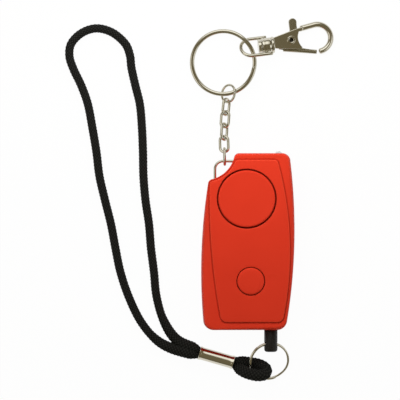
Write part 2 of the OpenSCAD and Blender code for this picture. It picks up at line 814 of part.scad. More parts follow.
module control_chip() {
    color(black_color)
        translate([chip_at.x, chip_at.y, board_z + board_t])
            cube([chip_w, chip_l, chip_t]);
}
module pin_socket() {
    w = 6;
    l = 9.8;
    color(black_color)
        difference() {
            translate([pin_x - w / 2, board_bottom, board_z + board_t])
                cube([w, l, pin_z + w / 2 - board_z - board_t]);
            along_y(pin_x, bottom_y, pin_z, stem_d + 0.3, l + 5);
            translate([pin_x - leaf_x() - 0.4, bottom_y + wall + 2.4, pin_z - 1.4])
                cube([2 * leaf_x() + 0.8, l - 4, 2.8]);
        }
}
function leaf_x() = stem_d / 2 + 0.15;
module socket_leaves() {
    color("gold")
        for (s = [-1, 1])
            translate([pin_x + s * (leaf_x() + 0.2), bottom_y + wall + 5.3, pin_z])
                cube([0.4, 5.8, 2.8], center = true);
}
module lamp() {
    color([0.9, 0.95, 1, 0.6])
        translate([lamp_c.x, lamp_c.y, lamp_z])
            rotate([-90, 0, 0]) {
                rotate_extrude()
                    difference() {
                        union() {
                            translate([0, -wall])
                                square([lamp_d / 2, wall + lamp_proud - lamp_d / 2 + eps]);
                            translate([0, -wall - lamp_flange_t])
                                square([lamp_d / 2 + 0.25, lamp_flange_t]);
                            translate([0, lamp_proud - lamp_d / 2])
                                circle(d = lamp_d);
                        }
                        translate([-lamp_d, -lamp_d])
                            square([lamp_d, 3 * lamp_d]);
                    }
                for (s = [-1, 1])
                    translate([s * lead_x, 0, -wall - lamp_flange_t - lead_l])
                        cylinder(d = lead_d, h = lead_l + eps);
            }
}

// Power
module battery_cell() {
    color("dimgray")
        translate([-cell_l / 2, cell_c.y, cell_z])
            rotate([0, 90, 0]) {
                cylinder(d = cell_d, h = cell_l - 0.8);
                cylinder(d = 4.4, h = cell_l);
            }
}
module battery_spring() {
    r0 = 3.2;
    r1 = 2.2;
    h = -cell_l / 2 - spring_x - 0.55;
    color(metal_color)
        translate([spring_x, cell_c.y, cell_z])
            rotate([0, 90, 0]) {
                translate([-contact_drop, -contact_w / 2, -contact_t])
                    cube([contact_h, contact_w, contact_t]);
                difference() {
                    cylinder(r1 = r0, r2 = r1, h = h + 0.45);
                    translate([0, 0, -1])
                        cylinder(r = r1 - 0.7, h = h + 3);
                }
            }
}
module battery_plate() {
    nib = 0.55;
    color(metal_color)
        translate([plate_x, cell_c.y, cell_z])
            rotate([0, 90, 0]) {
                translate([-contact_drop, -contact_w / 2, 0])
                    cube([contact_h, contact_w, contact_t]);
                translate([0, 0, -nib])
                    cylinder(d1 = 2, d2 = 3, h = nib + eps);
            }
}

// Pull pin and its ring
module pull_pin() {
    r = pin_d / 2;
    q = stem_d / 2;
    grip = pin_foot_y - pin_end_y;
    stem = pin_tip_y - pin_end_y;
    color(black_color)
        difference() {
            translate([pin_x, pin_end_y, pin_z])
                rotate([-90, 0, 0])
                    rotate_extrude()
                        polygon([
                            [0, 0], [r - 1, 0], [r - 0.4, 0.2], [r - 0.1, 0.6], [r, 1.1], [r, grip],
                            [q, grip], [q, stem - 0.8], [q - 0.7, stem], [0, stem]
                        ]);
            translate([pin_x, pin_hole_y, pin_z])
                rotate([0, 90 + pin_roll, 0])
                    cylinder(d = pin_hole_d, h = 2 * pin_d, center = true);
        }
}
module pin_ring() {
    color(metal_color)
        translate([pin_x, pin_hole_y, pin_z])
            rotate([0, pin_roll, 0])
                rotate([ring_droop, 0, 0])
                    translate([0, -pin_ring_r, 0])
                        rotate([0, 0, -60])
                            split_ring(pin_ring_r, pin_ring_w, pin_ring_t, (pin_ring_t + 0.06) / 2);
}

// Strap
function mouth(side, strand) =
    let (u = side * (ferrule_l / 2 - mouth_depth + cord_back), v = strand * (cord_end_d / 2 + 0.02))
    [
        ferrule_mid.x + u * cos(ferrule_turn) - v * sin(ferrule_turn),
        ferrule_mid.y + u * sin(ferrule_turn) + v * cos(ferrule_turn),
        ferrule_z
    ];
function out_of(side, strand, l) =
    mouth(side, strand) + side * l * [cos(ferrule_turn), sin(ferrule_turn), 0];
module crimp_ferrule() {
    r = ferrule_d / 2;
    l = ferrule_l / 2;
    b = r + ferrule_flare - ferrule_wall;
    color(metal_color)
        translate([ferrule_mid.x, ferrule_mid.y, ferrule_z])
            rotate([0, 0, ferrule_turn])
                rotate([0, 90, 0])
                    rotate_extrude()
                        polygon([
                            [0, mouth_depth - l], [b, mouth_depth - l], [b, -l], [r + ferrule_flare, -l],
                            [r + ferrule_flare, 0.5 - l], [r, 1.2 - l], [r, l - 1.2],
                            [r + ferrule_flare, l - 0.5], [r + ferrule_flare, l], [b, l],
                            [b, l - mouth_depth], [0, l - mouth_depth]
                        ]);
}
module wrist_cord() {
    ends = [[mouth(-1, 1), out_of(-1, 1, 2)], [out_of(-1, -1, 2), mouth(-1, -1)]];
    color(black_color)
        cord(smooth(concat(ends[0], wrist_route, ends[1]), 2));
}
module ring_loop_cord() {
    ends = [[mouth(1, 1), out_of(1, 1, 1.6)], [out_of(1, -1, 1.6), mouth(1, -1)]];
    color(black_color)
        cord(smooth(concat(ends[0], loop_route, ends[1]), 3));
}

// Bail, chain, jump ring and key ring
function notch_wall_x(y) = notch_c.x + sqrt(pow(notch_r, 2) - pow(y - notch_c.y, 2));
function notch_wall_y(x) = notch_c.y - sqrt(pow(notch_r, 2) - pow(x - notch_c.x, 2));
function bail_bar_l() = notch_wall_x(bail_y) + bail_seat - bail_x - bail_bend_r;
function bail_post_l() = bail_y - bail_bend_r - notch_wall_y(bail_x) + bail_seat;
module wire_bail() {
    color(metal_color)
        translate([bail_x + bail_bend_r, bail_y - bail_bend_r, bail_z]) {
            rotate([0, 0, 90])
                rotate_extrude(angle = 90)
                    translate([bail_bend_r, 0])
                        circle(d = bail_wire);
            translate([0, bail_bend_r, 0])
                rotate([0, 90, 0])
                    cylinder(d = bail_wire, h = bail_bar_l());
            translate([-bail_bend_r, 0, 0])
                rotate([90, 0, 0])
                    cylinder(d = bail_wire, h = bail_post_l());
        }
}
module jump_ring() {
    color(metal_color)
        translate(jump_mid)
            rotate([0, 0, jump_turn])
                rotate([0, jump_roll, 0])
                    rotate_extrude()
                        translate([jump_r, 0])
                            circle(d = jump_wire);
}
module key_ring() {
    color(metal_color)
        translate([key_c.x, key_c.y, key_z])
            rotate(a = asin(key_slope), v = [-sin(key_low_turn), cos(key_low_turn), 0])
                split_ring(key_r, key_ring_w, key_ring_t, key_level);
}

// Clasp
module in_clasp() {
    translate(clasp_at)
        rotate([0, clasp_dip, clasp_turn])
            children();
}
module along_u(u, v, d, l) {
    translate([u, v, 0])
        rotate([0, 90, 0])
            cylinder(d = d, h = l);
}
module swivel_eye() {
    color(metal_color)
        in_clasp()
            rotate([eye_roll, 0, 0])
                difference() {
                    union() {
                        along_u(barrel_u, 0, barrel_d, barrel_l);
                        translate([eye_u, 0, 0])
                            rotate([0, 0, 90])
                                rotate_extrude(angle = 180)
                                    translate([eye_r, 0])
                                        circle(d = eye_wire);
                        along_u(eye_u, eye_r, eye_wire, barrel_u + barrel_l - eye_u - 1.4);
                        along_u(eye_u, -eye_r, eye_wire, barrel_u + barrel_l - eye_u);
                        for (s = [-1, 1])
                            translate([barrel_u + 0.8, s * barrel_d / 2 - 0.9, -eye_wire / 2 + 0.1])
                                cube([1.4, 1.8, eye_wire - 0.2]);
                    }
                    along_u(barrel_u - 1, 0, post_d + 2 * pivot_play, barrel_l + 2);
                }
}
function hook_body() = concat(
    [[collar_u + collar_t - 0.2, -1.5], [2.2, -2.9], [3.2, -2.7]],
    arc([8.4, 1.2], 5.6, 223, 150, 6),
    [[neck_u + 1.6, 4.2], [neck_u + 1.7, 5.6], [2.9, 5.35], [collar_u + collar_t - 0.2, 2.8]]
);
module clasp_body() {
    slot = trigger_t + 2 * trigger_play;
    slot_u = collar_u + collar_t + 0.8;
    difference() {
        translate([0, 0, -clasp_t / 2])
            linear_extrude(clasp_t)
                polygon(hook_body());
        translate([slot_u, -10, -slot / 2])
            cube([neck_u - slot_u, 20, slot]);
        translate([slot_u, -10, -slot / 2])
            cube([12, 12.6, slot]);
        translate([0, rivet_v, -clasp_t])
            cylinder(d = rivet_d, h = 2 * clasp_t);
    }
}
module clasp_hook() {
    straight = hook_c.x - neck_u - 1.4;
    bar_lap = 0.3;
    color(metal_color)
        in_clasp() {
            clasp_body();
            along_u(collar_u, 0, collar_d, collar_t);
            along_u(barrel_u - swivel_gap - head_t / 2, 0, post_d, collar_u - barrel_u + head_t);
            along_u(barrel_u - swivel_gap - head_t, 0, head_d, head_t);
            translate([hook_c.x, hook_c.y, 0])
                rotate([0, 0, hook_nose_a])
                    rotate_extrude(angle = hook_top_a - hook_nose_a)
                        translate([hook_r, 0])
                            circle(d = hook_bar);
            translate([hook_c.x + hook_r * cos(hook_top_a), hook_c.y + hook_r * sin(hook_top_a), 0])
                rotate([0, -90, hook_top_a - 90])
                    translate([0, 0, -bar_lap])
                        cylinder(d = hook_bar - 0.04, h = straight + bar_lap);
        }
}
function trigger_plate() = concat(
    [[-5.2, -2.1], [2.5, -4.1], [9.6, -5.6], [9.9, -4.3], [3.4, -2.5], [2.6, 0], [2.4, 1.4]],
    [[3.1, 7.6]], arc([1.85, 8.1], 1.3, 0, 180, 6), [[0.1, 5], [-2, 2.6], [-3.4, 0.4], [-5.4, -0.9]]
);
module clasp_trigger() {
    color(metal_color)
        in_clasp()
            difference() {
                translate([0, 0, -trigger_t / 2])
                    linear_extrude(trigger_t)
                        polygon(trigger_plate());
                translate([0, rivet_v, -clasp_t])
                    cylinder(d = rivet_d + 2 * pivot_play, h = 2 * clasp_t);
                translate([0, rivet_v, -trigger_t])
                    cylinder(d = spring_d() + 0.5, h = trigger_t / 2 + spring_h());
            }
}
function spring_d() = rivet_d + 1.2;
function spring_h() = trigger_t / 2;
module trigger_rivet() {
    color(metal_color)
        in_clasp()
            translate([0, rivet_v, 0])
                difference() {
                    union() {
                        cylinder(d = rivet_d, h = clasp_t, center = true);
                        for (s = [-1, 1])
                            translate([0, 0, s * (clasp_t / 2 + 0.1)])
                                cylinder(d = rivet_head_d, h = 0.2, center = true);
                    }
                    cylinder(d = rivet_bore_d, h = 2 * clasp_t, center = true);
                }
}
module trigger_spring() {
    wire = 0.3;
    turns = 1.25;
    steps = 25;
    sides = 6;
    coil_r = (spring_d() - wire) / 2 - 0.02;
    rise = (spring_h() - wire) / turns - 0.02;
    color(metal_color)
        in_clasp()
            translate([0, rivet_v, -trigger_t / 2 + wire / 2])
                skin([
                    for (i = [0:steps])
                        let (a = 360 * turns * i / steps)
                        [for (k = [0:sides - 1])
                            let (b = -360 * k / sides, q = coil_r + wire / 2 * cos(b))
                            [q * cos(a), q * sin(a), rise * a / 360 + wire / 2 * sin(b)]]
                ]);
}

front_shell();
rear_shell();
battery_door();
case_screws();
door_screw();
sound_disc();
piezo_disc();
piezo_seal();
push_button();
switch_plunger();
button_switch();
circuit_board();
boost_coil();
control_chip();
pin_socket();
socket_leaves();
lamp();
battery_cell();
battery_spring();
battery_plate();
pull_pin();
pin_ring();
ring_loop_cord();
crimp_ferrule();
wrist_cord();
wire_bail();
chain_link(0);  // chain_end_link
chain_link(4);  // chain_link_1
chain_link(3);  // chain_link_2
chain_link(2);  // chain_link_3
chain_link(1);  // chain_link_4
jump_ring();
key_ring();
swivel_eye();
clasp_hook();
clasp_trigger();
trigger_rivet();
trigger_spring();
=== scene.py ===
# %% [markdown]
# A personal safety alarm lies on its back: a red plastic case with a sounder, a button and a lamp,
# a black pull pin on a braided wrist strap, and a chain, a key ring and a swivel clasp.
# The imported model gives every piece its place, in metres, so the pieces below are made right there.

# %% Load the frame
import json
import math

import bmesh
import bpy
from mathutils import Matrix, Vector

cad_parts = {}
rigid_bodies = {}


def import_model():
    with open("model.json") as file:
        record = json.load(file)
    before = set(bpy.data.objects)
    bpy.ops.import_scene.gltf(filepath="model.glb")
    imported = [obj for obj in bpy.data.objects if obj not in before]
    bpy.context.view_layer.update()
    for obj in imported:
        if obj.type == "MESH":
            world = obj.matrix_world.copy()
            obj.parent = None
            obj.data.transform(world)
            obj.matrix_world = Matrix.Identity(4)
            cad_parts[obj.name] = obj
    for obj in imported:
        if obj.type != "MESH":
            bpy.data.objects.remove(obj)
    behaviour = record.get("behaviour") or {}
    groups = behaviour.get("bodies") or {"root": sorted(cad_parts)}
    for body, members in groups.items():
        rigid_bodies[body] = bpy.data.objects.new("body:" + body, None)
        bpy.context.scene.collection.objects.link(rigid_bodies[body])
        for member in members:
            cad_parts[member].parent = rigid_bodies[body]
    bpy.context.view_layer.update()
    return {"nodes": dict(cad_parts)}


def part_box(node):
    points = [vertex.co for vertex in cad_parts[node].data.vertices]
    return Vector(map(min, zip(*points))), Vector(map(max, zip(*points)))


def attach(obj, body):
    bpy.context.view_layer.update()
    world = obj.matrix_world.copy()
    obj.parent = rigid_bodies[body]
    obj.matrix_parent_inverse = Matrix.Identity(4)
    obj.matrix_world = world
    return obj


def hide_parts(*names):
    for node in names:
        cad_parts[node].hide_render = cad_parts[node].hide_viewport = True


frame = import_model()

MM = 0.001

# %% [markdown]
# The camera looks straight down on the table, as the photograph does.
# A long lens from far away keeps the tall case and the flat ring at one scale,
# which a short lens would not. The frame is 160 mm wide.

# %% Camera
view_middle = Vector((-19.2, 16.6, 0)) * MM
view_width = 160 * MM
camera_height = 2.4
sensor = 36
bpy.ops.object.select_all(action="DESELECT")
bpy.ops.object.camera_add(location=(view_middle.x, view_middle.y, camera_height), rotation=(0, 0, 0))
camera = bpy.context.object
camera.data.sensor_width = sensor
camera.data.lens = sensor * camera_height / view_width
scene = bpy.context.scene
scene.camera = camera
scene.view_settings.view_transform = "Standard"
print("lens", round(camera.data.lens), "mm")

# %% [markdown]
# Node trees are easier to read when one line adds one node.
# The helpers below add a node, set its options, and fill each input with a number or a link.

# %% Node helpers
def feed(tree, node, inputs):
    """Fill a node's inputs, given as (socket, value or output socket)."""
    for socket, value in inputs:
        if isinstance(value, bpy.types.NodeSocket):
            tree.links.new(value, node.inputs[socket])
        else:
            node.inputs[socket].default_value = value


def add_node(tree, kind, inputs=(), **options):
    """One new shader node with its options set and its inputs filled."""
    node = tree.nodes.new("ShaderNode" + kind)
    for name, value in options.items():
        setattr(node, name, value)
    feed(tree, node, inputs)
    return node


def mixed_colour(tree, factor, dark, light):
    """A colour between dark and light; each of them is a colour or an output socket."""
    ends = [c if isinstance(c, bpy.types.NodeSocket) else (*c, 1) for c in (dark, light)]
    mix = add_node(tree, "Mix", [("Factor", factor), (6, ends[0]), (7, ends[1])], data_type="RGBA")
    return mix.outputs[2]


def noise(tree, place, scale, detail):
    """How bright a noise texture is at a place."""
    inputs = [("Vector", place), ("Scale", scale), ("Detail", detail)]
    return add_node(tree, "TexNoise", inputs).outputs["Fac"]


def maths(tree, operation, first, second):
    """What one sum with two values comes to."""
    return add_node(tree, "Math", [(0, first), (1, second)], operation=operation).outputs[0]


# %% [markdown]
# The studio has a pale floor, one soft lamp beyond the top of the frame and a room round it:
# white at the horizon, a dim olive ceiling, and soft boxes of light beyond the top, left and right.
# Metal lives from what it mirrors: round wires turn pale on the sides that face a soft box, and
# flat faces such as the clasp's mirror the dim ceiling, as in the photograph.
# The floor is white to the camera, in mirrors and through clear plastic, and keeps a trace of shadow.

# %% Floor, sky and lamp
floor_drop = 0.2 * MM
shadow_trace = 0.03
bpy.ops.mesh.primitive_plane_add(size=5, location=(0, 0, -floor_drop))
floor = bpy.context.object
floor.name = "studio_floor"
floor_paint = bpy.data.materials.new("floor_paint")
floor_paint.use_nodes = True
tree = floor_paint.node_tree
tree.nodes.clear()
grain = add_node(tree, "TexNoise", [("Scale", 30.0), ("Detail", 3.0)])
paper = mixed_colour(tree, grain.outputs["Fac"], (0.80, 0.80, 0.79), (0.84, 0.84, 0.83))
matt = add_node(tree, "BsdfDiffuse", [("Color", paper)])
white = add_node(tree, "Emission", [("Color", (1, 1, 1, 1)), ("Strength", 1.0)])
ray = add_node(tree, "LightPath").outputs
seen = maths(tree, "MAXIMUM", ray["Is Camera Ray"], ray["Is Glossy Ray"])
seen = maths(tree, "MAXIMUM", seen, ray["Is Transmission Ray"])
seen = maths(tree, "MULTIPLY", seen, 1 - shadow_trace)
blend = add_node(tree, "MixShader", [(0, seen), (1, matt.outputs[0]), (2, white.outputs[0])])
add_node(tree, "OutputMaterial", [("Surface", blend.outputs[0])])
floor.data.materials.append(floor_paint)

sky = bpy.data.worlds.new("studio_sky")
scene.world = sky
sky.use_nodes = True
tree = sky.node_tree
tree.nodes.clear()
around = add_node(tree, "TexCoord").outputs["Generated"]
height = add_node(tree, "SeparateXYZ", [("Vector", around)])
ramp = add_node(tree, "ValToRGB", [("Fac", height.outputs["Z"])])
stops = ramp.color_ramp.elements
stops.remove(stops[0])
stops[0].position = 0.0
stops[0].color = (1, 1, 1, 1)
sky_levels = ((0.06, (0.80, 0.79, 0.76)), (0.18, (0.135, 0.118, 0.075)), (0.60, (0.195, 0.167, 0.103)))
for level, colour in sky_levels:
    stops.new(level).color = (*colour, 1)
room = ramp.outputs["Color"]
soft_boxes = [
    # direction, cosine where it is full, cosine where it has faded out, colour
    ((-0.18, 0.63, 0.755), 0.94, 0.84, (1.4, 1.4, 1.36)),
    ((-0.75, -0.15, 0.644), 0.97, 0.92, (1.1, 1.06, 0.98)),
    ((0.72, -0.22, 0.658), 0.965, 0.91, (1.15, 1.15, 1.12)),
]
for way, core, edge, colour in soft_boxes:
    toward = add_node(tree, "VectorMath", [(0, around), (1, way)], operation="DOT_PRODUCT").outputs["Value"]
    glow = add_node(tree, "MapRange", [("Value", toward), ("From Min", edge), ("From Max", core)],
                    interpolation_type="SMOOTHSTEP")
    room = mixed_colour(tree, glow.outputs["Result"], room, colour)
dome = add_node(tree, "Background", [("Color", room), ("Strength", 1.0)])
add_node(tree, "OutputWorld", [("Surface", dome.outputs[0])])

bpy.ops.object.light_add(type="AREA", location=(-0.01, 0.11, 0.11))
lamp_light = bpy.context.object
lamp_light.data.shape = "RECTANGLE"
lamp_light.data.size, lamp_light.data.size_y = 0.22, 0.08
lamp_light.data.energy = 0.18
lamp_light.visible_glossy = False
aim = Vector((0, 0.02, 0)) - lamp_light.location
lamp_light.rotation_euler = aim.to_track_quat("-Z", "Y").to_euler()
print("floor, sky and one soft lamp")

# %% [markdown]
# Every finish starts the same way: a coarse noise varies the colour, the same noise varies the
# roughness, and a fine noise gives the surface its grain. One function makes that, and a finish
# that needs more, such as paler edges (partly rubbed, partly a painted highlight), painted shade in
# gaps, or a weave, adds its own nodes. Sizes are in metres, so a noise of scale 1000 has spots of
# about a millimetre.

# %% Finishes
bump_depth = 0.1 * MM


def new_finish(name, dark, light, rough, spots=120.0, grain=2200.0, bump=0.05, metal=0.0, specular=0.5):
    """A material with a mottled colour, an uneven gloss and a fine grain."""
    material = bpy.data.materials.new(name)
    material.use_nodes = True
    tree = material.node_tree
    shader = tree.nodes["Principled BSDF"]
    where = add_node(tree, "TexCoord").outputs["Object"]
    cloud = noise(tree, where, spots, 4.0)
    gloss = add_node(tree, "MapRange", [("Value", cloud), ("From Min", 0.3), ("From Max", 0.7),
                                        ("To Min", rough[0]), ("To Max", rough[1])])
    fine = noise(tree, where, grain, 3.0)
    relief = add_node(tree, "Bump", [("Height", fine), ("Strength", bump), ("Distance", bump_depth)])
    feed(tree, shader, [("Base Color", mixed_colour(tree, cloud, dark, light)),
                        ("Roughness", gloss.outputs["Result"]), ("Normal", relief.outputs["Normal"]),
                        ("Metallic", metal), ("Specular IOR Level", specular)])
    return material


def over_colour(material, attribute, colour, share):
    """Lay another colour over the base where the piece's own attribute is high."""
    tree = material.node_tree
    shader = tree.nodes["Principled BSDF"]
    base = shader.inputs["Base Color"].links[0].from_socket
    mask = add_node(tree, "Attribute", attribute_name=attribute)
    part = maths(tree, "MULTIPLY", mask.outputs["Fac"], share)
    feed(tree, shader, [("Base Color", mixed_colour(tree, part, base, colour))])


red_plastic = new_finish("red_plastic", (0.66, 0.034, 0.0125), (0.74, 0.042, 0.016), (0.50, 0.60),
                         spots=45.0, grain=2600.0, bump=0.06, specular=0.12)
# Paler orange on the step round the panel and on the rims of its holes: partly rubbed edges, partly a
# painted highlight.
over_colour(red_plastic, "wear_and_highlight", (0.85, 0.11, 0.05), 0.4)
# Dark red in the groove, the sound slot and low in the gaps round the disc and the button: painted shade.
over_colour(red_plastic, "painted_shade", (0.24, 0.008, 0.004), 0.6)
nickel = new_finish("nickel_plate", (0.55, 0.515, 0.41), (0.72, 0.69, 0.60), (0.10, 0.17),
                    spots=60.0, grain=900.0, bump=0.003, metal=1.0)
# Near-black in the bore of the trigger's rivet: painted shade.
over_colour(nickel, "painted_shade", (0.03, 0.025, 0.018), 0.95)
old_nickel = new_finish("dull_nickel", (0.42, 0.39, 0.29), (0.54, 0.505, 0.40), (0.2, 0.3),
                        spots=80.0, grain=900.0, bump=0.004, metal=1.0)
screw_steel = new_finish("screw_steel", (0.36, 0.36, 0.35), (0.48, 0.47, 0.45), (0.28, 0.42),
                         spots=500.0, metal=1.0)
black_plastic = new_finish("black_plastic", (0.005, 0.004, 0.0035), (0.009, 0.007, 0.006), (0.42, 0.52),
                           spots=200.0, bump=0.08, specular=0.3)
foam = new_finish("black_foam", (0.03, 0.03, 0.03), (0.08, 0.08, 0.08), (0.8, 0.95),
                  spots=1800.0, bump=0.5)
brass = new_finish("brass", (0.55, 0.38, 0.13), (0.78, 0.60, 0.26), (0.2, 0.34), spots=300.0, metal=1.0)
board_green = new_finish("board_green", (0.015, 0.10, 0.04), (0.03, 0.17, 0.07), (0.3, 0.45),
                         spots=700.0)
coil_wire = new_finish("coil_wire", (0.22, 0.07, 0.02), (0.42, 0.16, 0.05), (0.25, 0.4), spots=900.0)
cell_jacket = new_finish("cell_jacket", (0.12, 0.12, 0.13), (0.22, 0.22, 0.24), (0.3, 0.4), spots=80.0)
clear_plastic = new_finish("clear_plastic", (0.86, 0.88, 0.90), (0.95, 0.96, 0.97), (0.04, 0.10),
                           spots=600.0, bump=0.01)
tree = clear_plastic.node_tree
feed(tree, tree.nodes["Principled BSDF"], [("Transmission Weight", 0.45), ("IOR", 1.49)])
print("finishes:", len(bpy.data.materials))

# %% [markdown]
# A braided cord is two families of yarn that wind round in opposite ways and pass over and under
# each other. Its finish reads how high the yarn lies from an attribute of the mesh and paints the
# tops of the yarn paler, a painted highlight, and the gaps darker, a painted shade; it also draws
# the fibres along the cord on its UV map.

# %% Cord finish
black_cord = new_finish("black_braid", (0.002, 0.002, 0.0018), (0.004, 0.004, 0.0036), (0.62, 0.8),
                        spots=300.0, grain=6000.0, bump=0.3, specular=0.1)
# Painted highlight on the tops of the yarn and painted shade in the gaps between them.
over_colour(black_cord, "yarn", (0.025, 0.025, 0.0225), 0.95)
tree = black_cord.node_tree
along_cord = add_node(tree, "UVMap", uv_map="braid").outputs["UV"]
stretch = add_node(tree, "Mapping", [("Vector", along_cord), ("Scale", (40.0, 1500.0, 1.0))])
fibre = noise(tree, stretch.outputs["Vector"], 3.0, 2.0)
soft = add_node(tree, "Bump", [("Height", fibre), ("Strength", 0.35), ("Distance", bump_depth)])
feed(tree, tree.nodes["Principled BSDF"], [("Normal", soft.outputs["Normal"]), ("Sheen Weight", 0.01),
                                           ("Sheen Roughness", 0.4)])
print("cord finish with fibres along the cord")

# %% [markdown]
# The strap is one limp braided cord, doubled and crimped in a metal ferrule: a long loop for the
# wrist that lies on the table, and a small one that rises to the ring of the pin. Both follow the
# routes of the CAD model. A smooth curve through the route's points carries the tube, and the braid
# is real relief in the mesh, because a bump alone leaves the outline of a rope too clean.

# %% Routes of the two cords
cord_width = 3.5 * MM
crimped_width = 2.3 * MM
squeezed = 4 * MM
ferrule_middle = Vector((-12.6, -46.4, 2.8)) * MM
ferrule_heading = -16
ferrule_half, mouth_depth = 7.1, 0.8
cord_start, strand_middle = 0.36, 1.12
cord_z = 1.7
wrist_points = [(-28.6, -39.2, 1.8)] + [(x, y, cord_z) for x, y in (
    (-33.8, -31.4), (-36.6, -21.8), (-37.6, -12.2), (-38.8, -2.6), (-39.6, 7), (-41, 16.6), (-41.8, 26.2),
    (-42, 35.8), (-42.4, 45.4), (-43.2, 54.6), (-45, 62.2), (-46.6, 69.4), (-47.2, 74.4), (-49.2, 79.2),
    (-54.4, 83.6), (-60.6, 85.2), (-66.4, 83.4), (-70.6, 79.2), (-71.4, 74.2), (-69.8, 69), (-66.6, 62.2),
    (-64, 54.8), (-62.2, 45.4), (-60.6, 35.8), (-59.4, 26.2), (-57.2, 16.6), (-54.8, 7), (-53, -2.6),
    (-51, -12.2), (-47.8, -21.8), (-43.2, -31.4), (-37.6, -38.4),
)] + [(-31.2, -42.4, 1.8)]
loop_points = [
    (-1.52, -48.23, 2.1), (1.68, -48.63, 1.9), (4.7, -49.3, 2.6), (6.7, -50.4, 3.9), (7.3, -51.7, 5.2),
    (6.45, -53.0, 6.4), (4.5, -53.4, 7.0), (1.92, -53.1, 6.85), (-1.48, -51.95, 5.55),
]


def ferrule_point(side, strand, out=0.0):
    """A point in one mouth of the ferrule, on one of its two strands, or some way out of it."""
    u = side * (ferrule_half - mouth_depth + cord_start + out)
    heading = Matrix.Rotation(math.radians(ferrule_heading), 3, "Z")
    return ferrule_middle + heading @ Vector((u, strand * strand_middle, 0)) * MM


def spline(a, b, c, d, t):
    """A point between b and c on the Catmull-Rom curve through four points."""
    return 0.5 * (2 * b + (c - a) * t + (2 * a - 5 * b + 4 * c - d) * t ** 2
                  + (3 * b - a - 3 * c + d) * t ** 3)


def smooth_route(points, spacing, fineness=24):
    """A smooth curve through the points, cut into even steps, and its length."""
    fine = []
    last = len(points) - 1
    for i in range(last):
        a, b, c, d = points[max(i - 1, 0)], points[i], points[i + 1], points[min(i + 2, last)]
        fine += [spline(a, b, c, d, k / fineness) for k in range(fineness)]
    fine.append(points[last])
    run = [0.0]
    for a, b in zip(fine, fine[1:]):
        run.append(run[-1] + (b - a).length)
    steps = round(run[-1] / spacing)
    even, k = [], 0
    for i in range(steps + 1):
        s = run[-1] * i / steps
        while k < len(run) - 2 and run[k + 1] < s:
            k += 1
        f = min(1, max(0, (s - run[k]) / (run[k + 1] - run[k])))
        even.append(fine[k] + (fine[k + 1] - fine[k]) * f)
    return even, run[-1]


def metres(points):
    return [Vector(p).to_3d() * MM for p in points]


wrist_route, wrist_length = smooth_route(
    [ferrule_point(-1, 1), ferrule_point(-1, 1, 2)] + metres(wrist_points)
    + [ferrule_point(-1, -1, 2), ferrule_point(-1, -1)], 0.21 * MM)
loop_route, loop_length = smooth_route(
    [ferrule_point(1, 1), ferrule_point(1, 1, 1.6)] + metres(loop_points)
    + [ferrule_point(1, -1, 1.6), ferrule_point(1, -1)], 0.16 * MM)
print("wrist loop", round(wrist_length * 1000), "mm, small loop", round(loop_length * 1000), "mm")

# %% Braided tubes
yarns_round = 8
yarn_step = 1.35 * MM
yarn_height = 0.32 * MM
yarn_highlight_power = 2.5
cord_squash = 0.95
sides_round = 48


def yarn_level(around, along):
    """How high the braid stands, from 0 in a gap to 1 on top of a yarn."""
    a, b = around + along, around - along
    fa, fb = a - math.floor(a), b - math.floor(b)
    over = (math.floor(a) + math.floor(b)) % 2 == 0
    across, lengthways = (fa, fb) if over else (fb, fa)
    round_top = math.sqrt(max(0.0, 1 - (2 * across - 1) ** 2))
    return round_top * (0.45 + 0.55 * math.sin(math.pi * lengthways))


def braided_tube(name, route, length, spread, reach):
    """A closed mesh tube along the route, with the braid in its surface.
    The ferrule presses the cord flat: it is spread most just outside, and round again after a reach."""
    verts, faces, painted_levels = [], [], []
    last = len(route) - 1
    for i, middle in enumerate(route):
        way = (route[min(i + 1, last)] - route[max(i - 1, 0)]).normalized()
        across = Vector((0, 0, 1)).cross(way).normalized()
        up = way.cross(across)
        s = length * i / last
        near = min(1, min(s, length - s) / squeezed)
        flat = 1 + (spread - 1) * near * max(0.0, 1 - (min(s, length - s) / reach) ** 2)
        radius = (crimped_width + (cord_width - crimped_width) * math.sin(math.pi / 2 * near)) / 2
        for k in range(sides_round):
            turn = 2 * math.pi * k / sides_round
            level = yarn_level(yarns_round * k / sides_round, s / yarn_step)
            # The colour mask, raised to a power so that the painted highlight sits only on the yarn tops.
            painted_levels.append(level ** yarn_highlight_power)
            verts.append(middle + (radius - yarn_height * (1 - level))
                         * (across * math.cos(turn) * flat + up * math.sin(turn) * cord_squash))
    for i in range(last):
        for k in range(sides_round):
            n = (k + 1) % sides_round
            faces.append((i * sides_round + k, i * sides_round + n, (i + 1) * sides_round + n,
                          (i + 1) * sides_round + k))
    faces.append(tuple(range(sides_round))[::-1])
    faces.append(tuple(last * sides_round + k for k in range(sides_round)))
    mesh = bpy.data.meshes.new(name)
    mesh.from_pydata(verts, [], faces)
    # Stored for the finish: a painted highlight on the yarn tops and painted shade in the gaps.
    mesh.attributes.new("yarn", "FLOAT", "POINT").data.foreach_set("value", painted_levels)
    uv = mesh.uv_layers.new(name="braid")
    for face in mesh.polygons:
        sides = [v % sides_round for v in face.vertices]
        closing = len(sides) == 4 and sides_round - 1 in sides
        for corner, v, side in zip(face.loop_indices, face.vertices, sides):
            if closing and side == 0:
                side = sides_round
            uv.data[corner].uv = (side / sides_round, length * (v // sides_round) / last)
    mesh.polygons.foreach_set("use_smooth", [True] * len(mesh.polygons))
    tube = bpy.data.objects.new(name, mesh)
    scene.collection.objects.link(tube)
    tube.data.materials.append(black_cord)
    return tube


wrist_loop = braided_tube("wrist_loop", wrist_route, wrist_length, 1.4, 22 * MM)
ring_loop = braided_tube("ring_loop", loop_route, loop_length, 1.42, 40 * MM)
for tube, node in ((wrist_loop, "wrist_cord"), (ring_loop, "ring_loop_cord")):
    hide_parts(node)
    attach(tube, "strap")
    print(tube.name, len(tube.data.polygons), "faces")

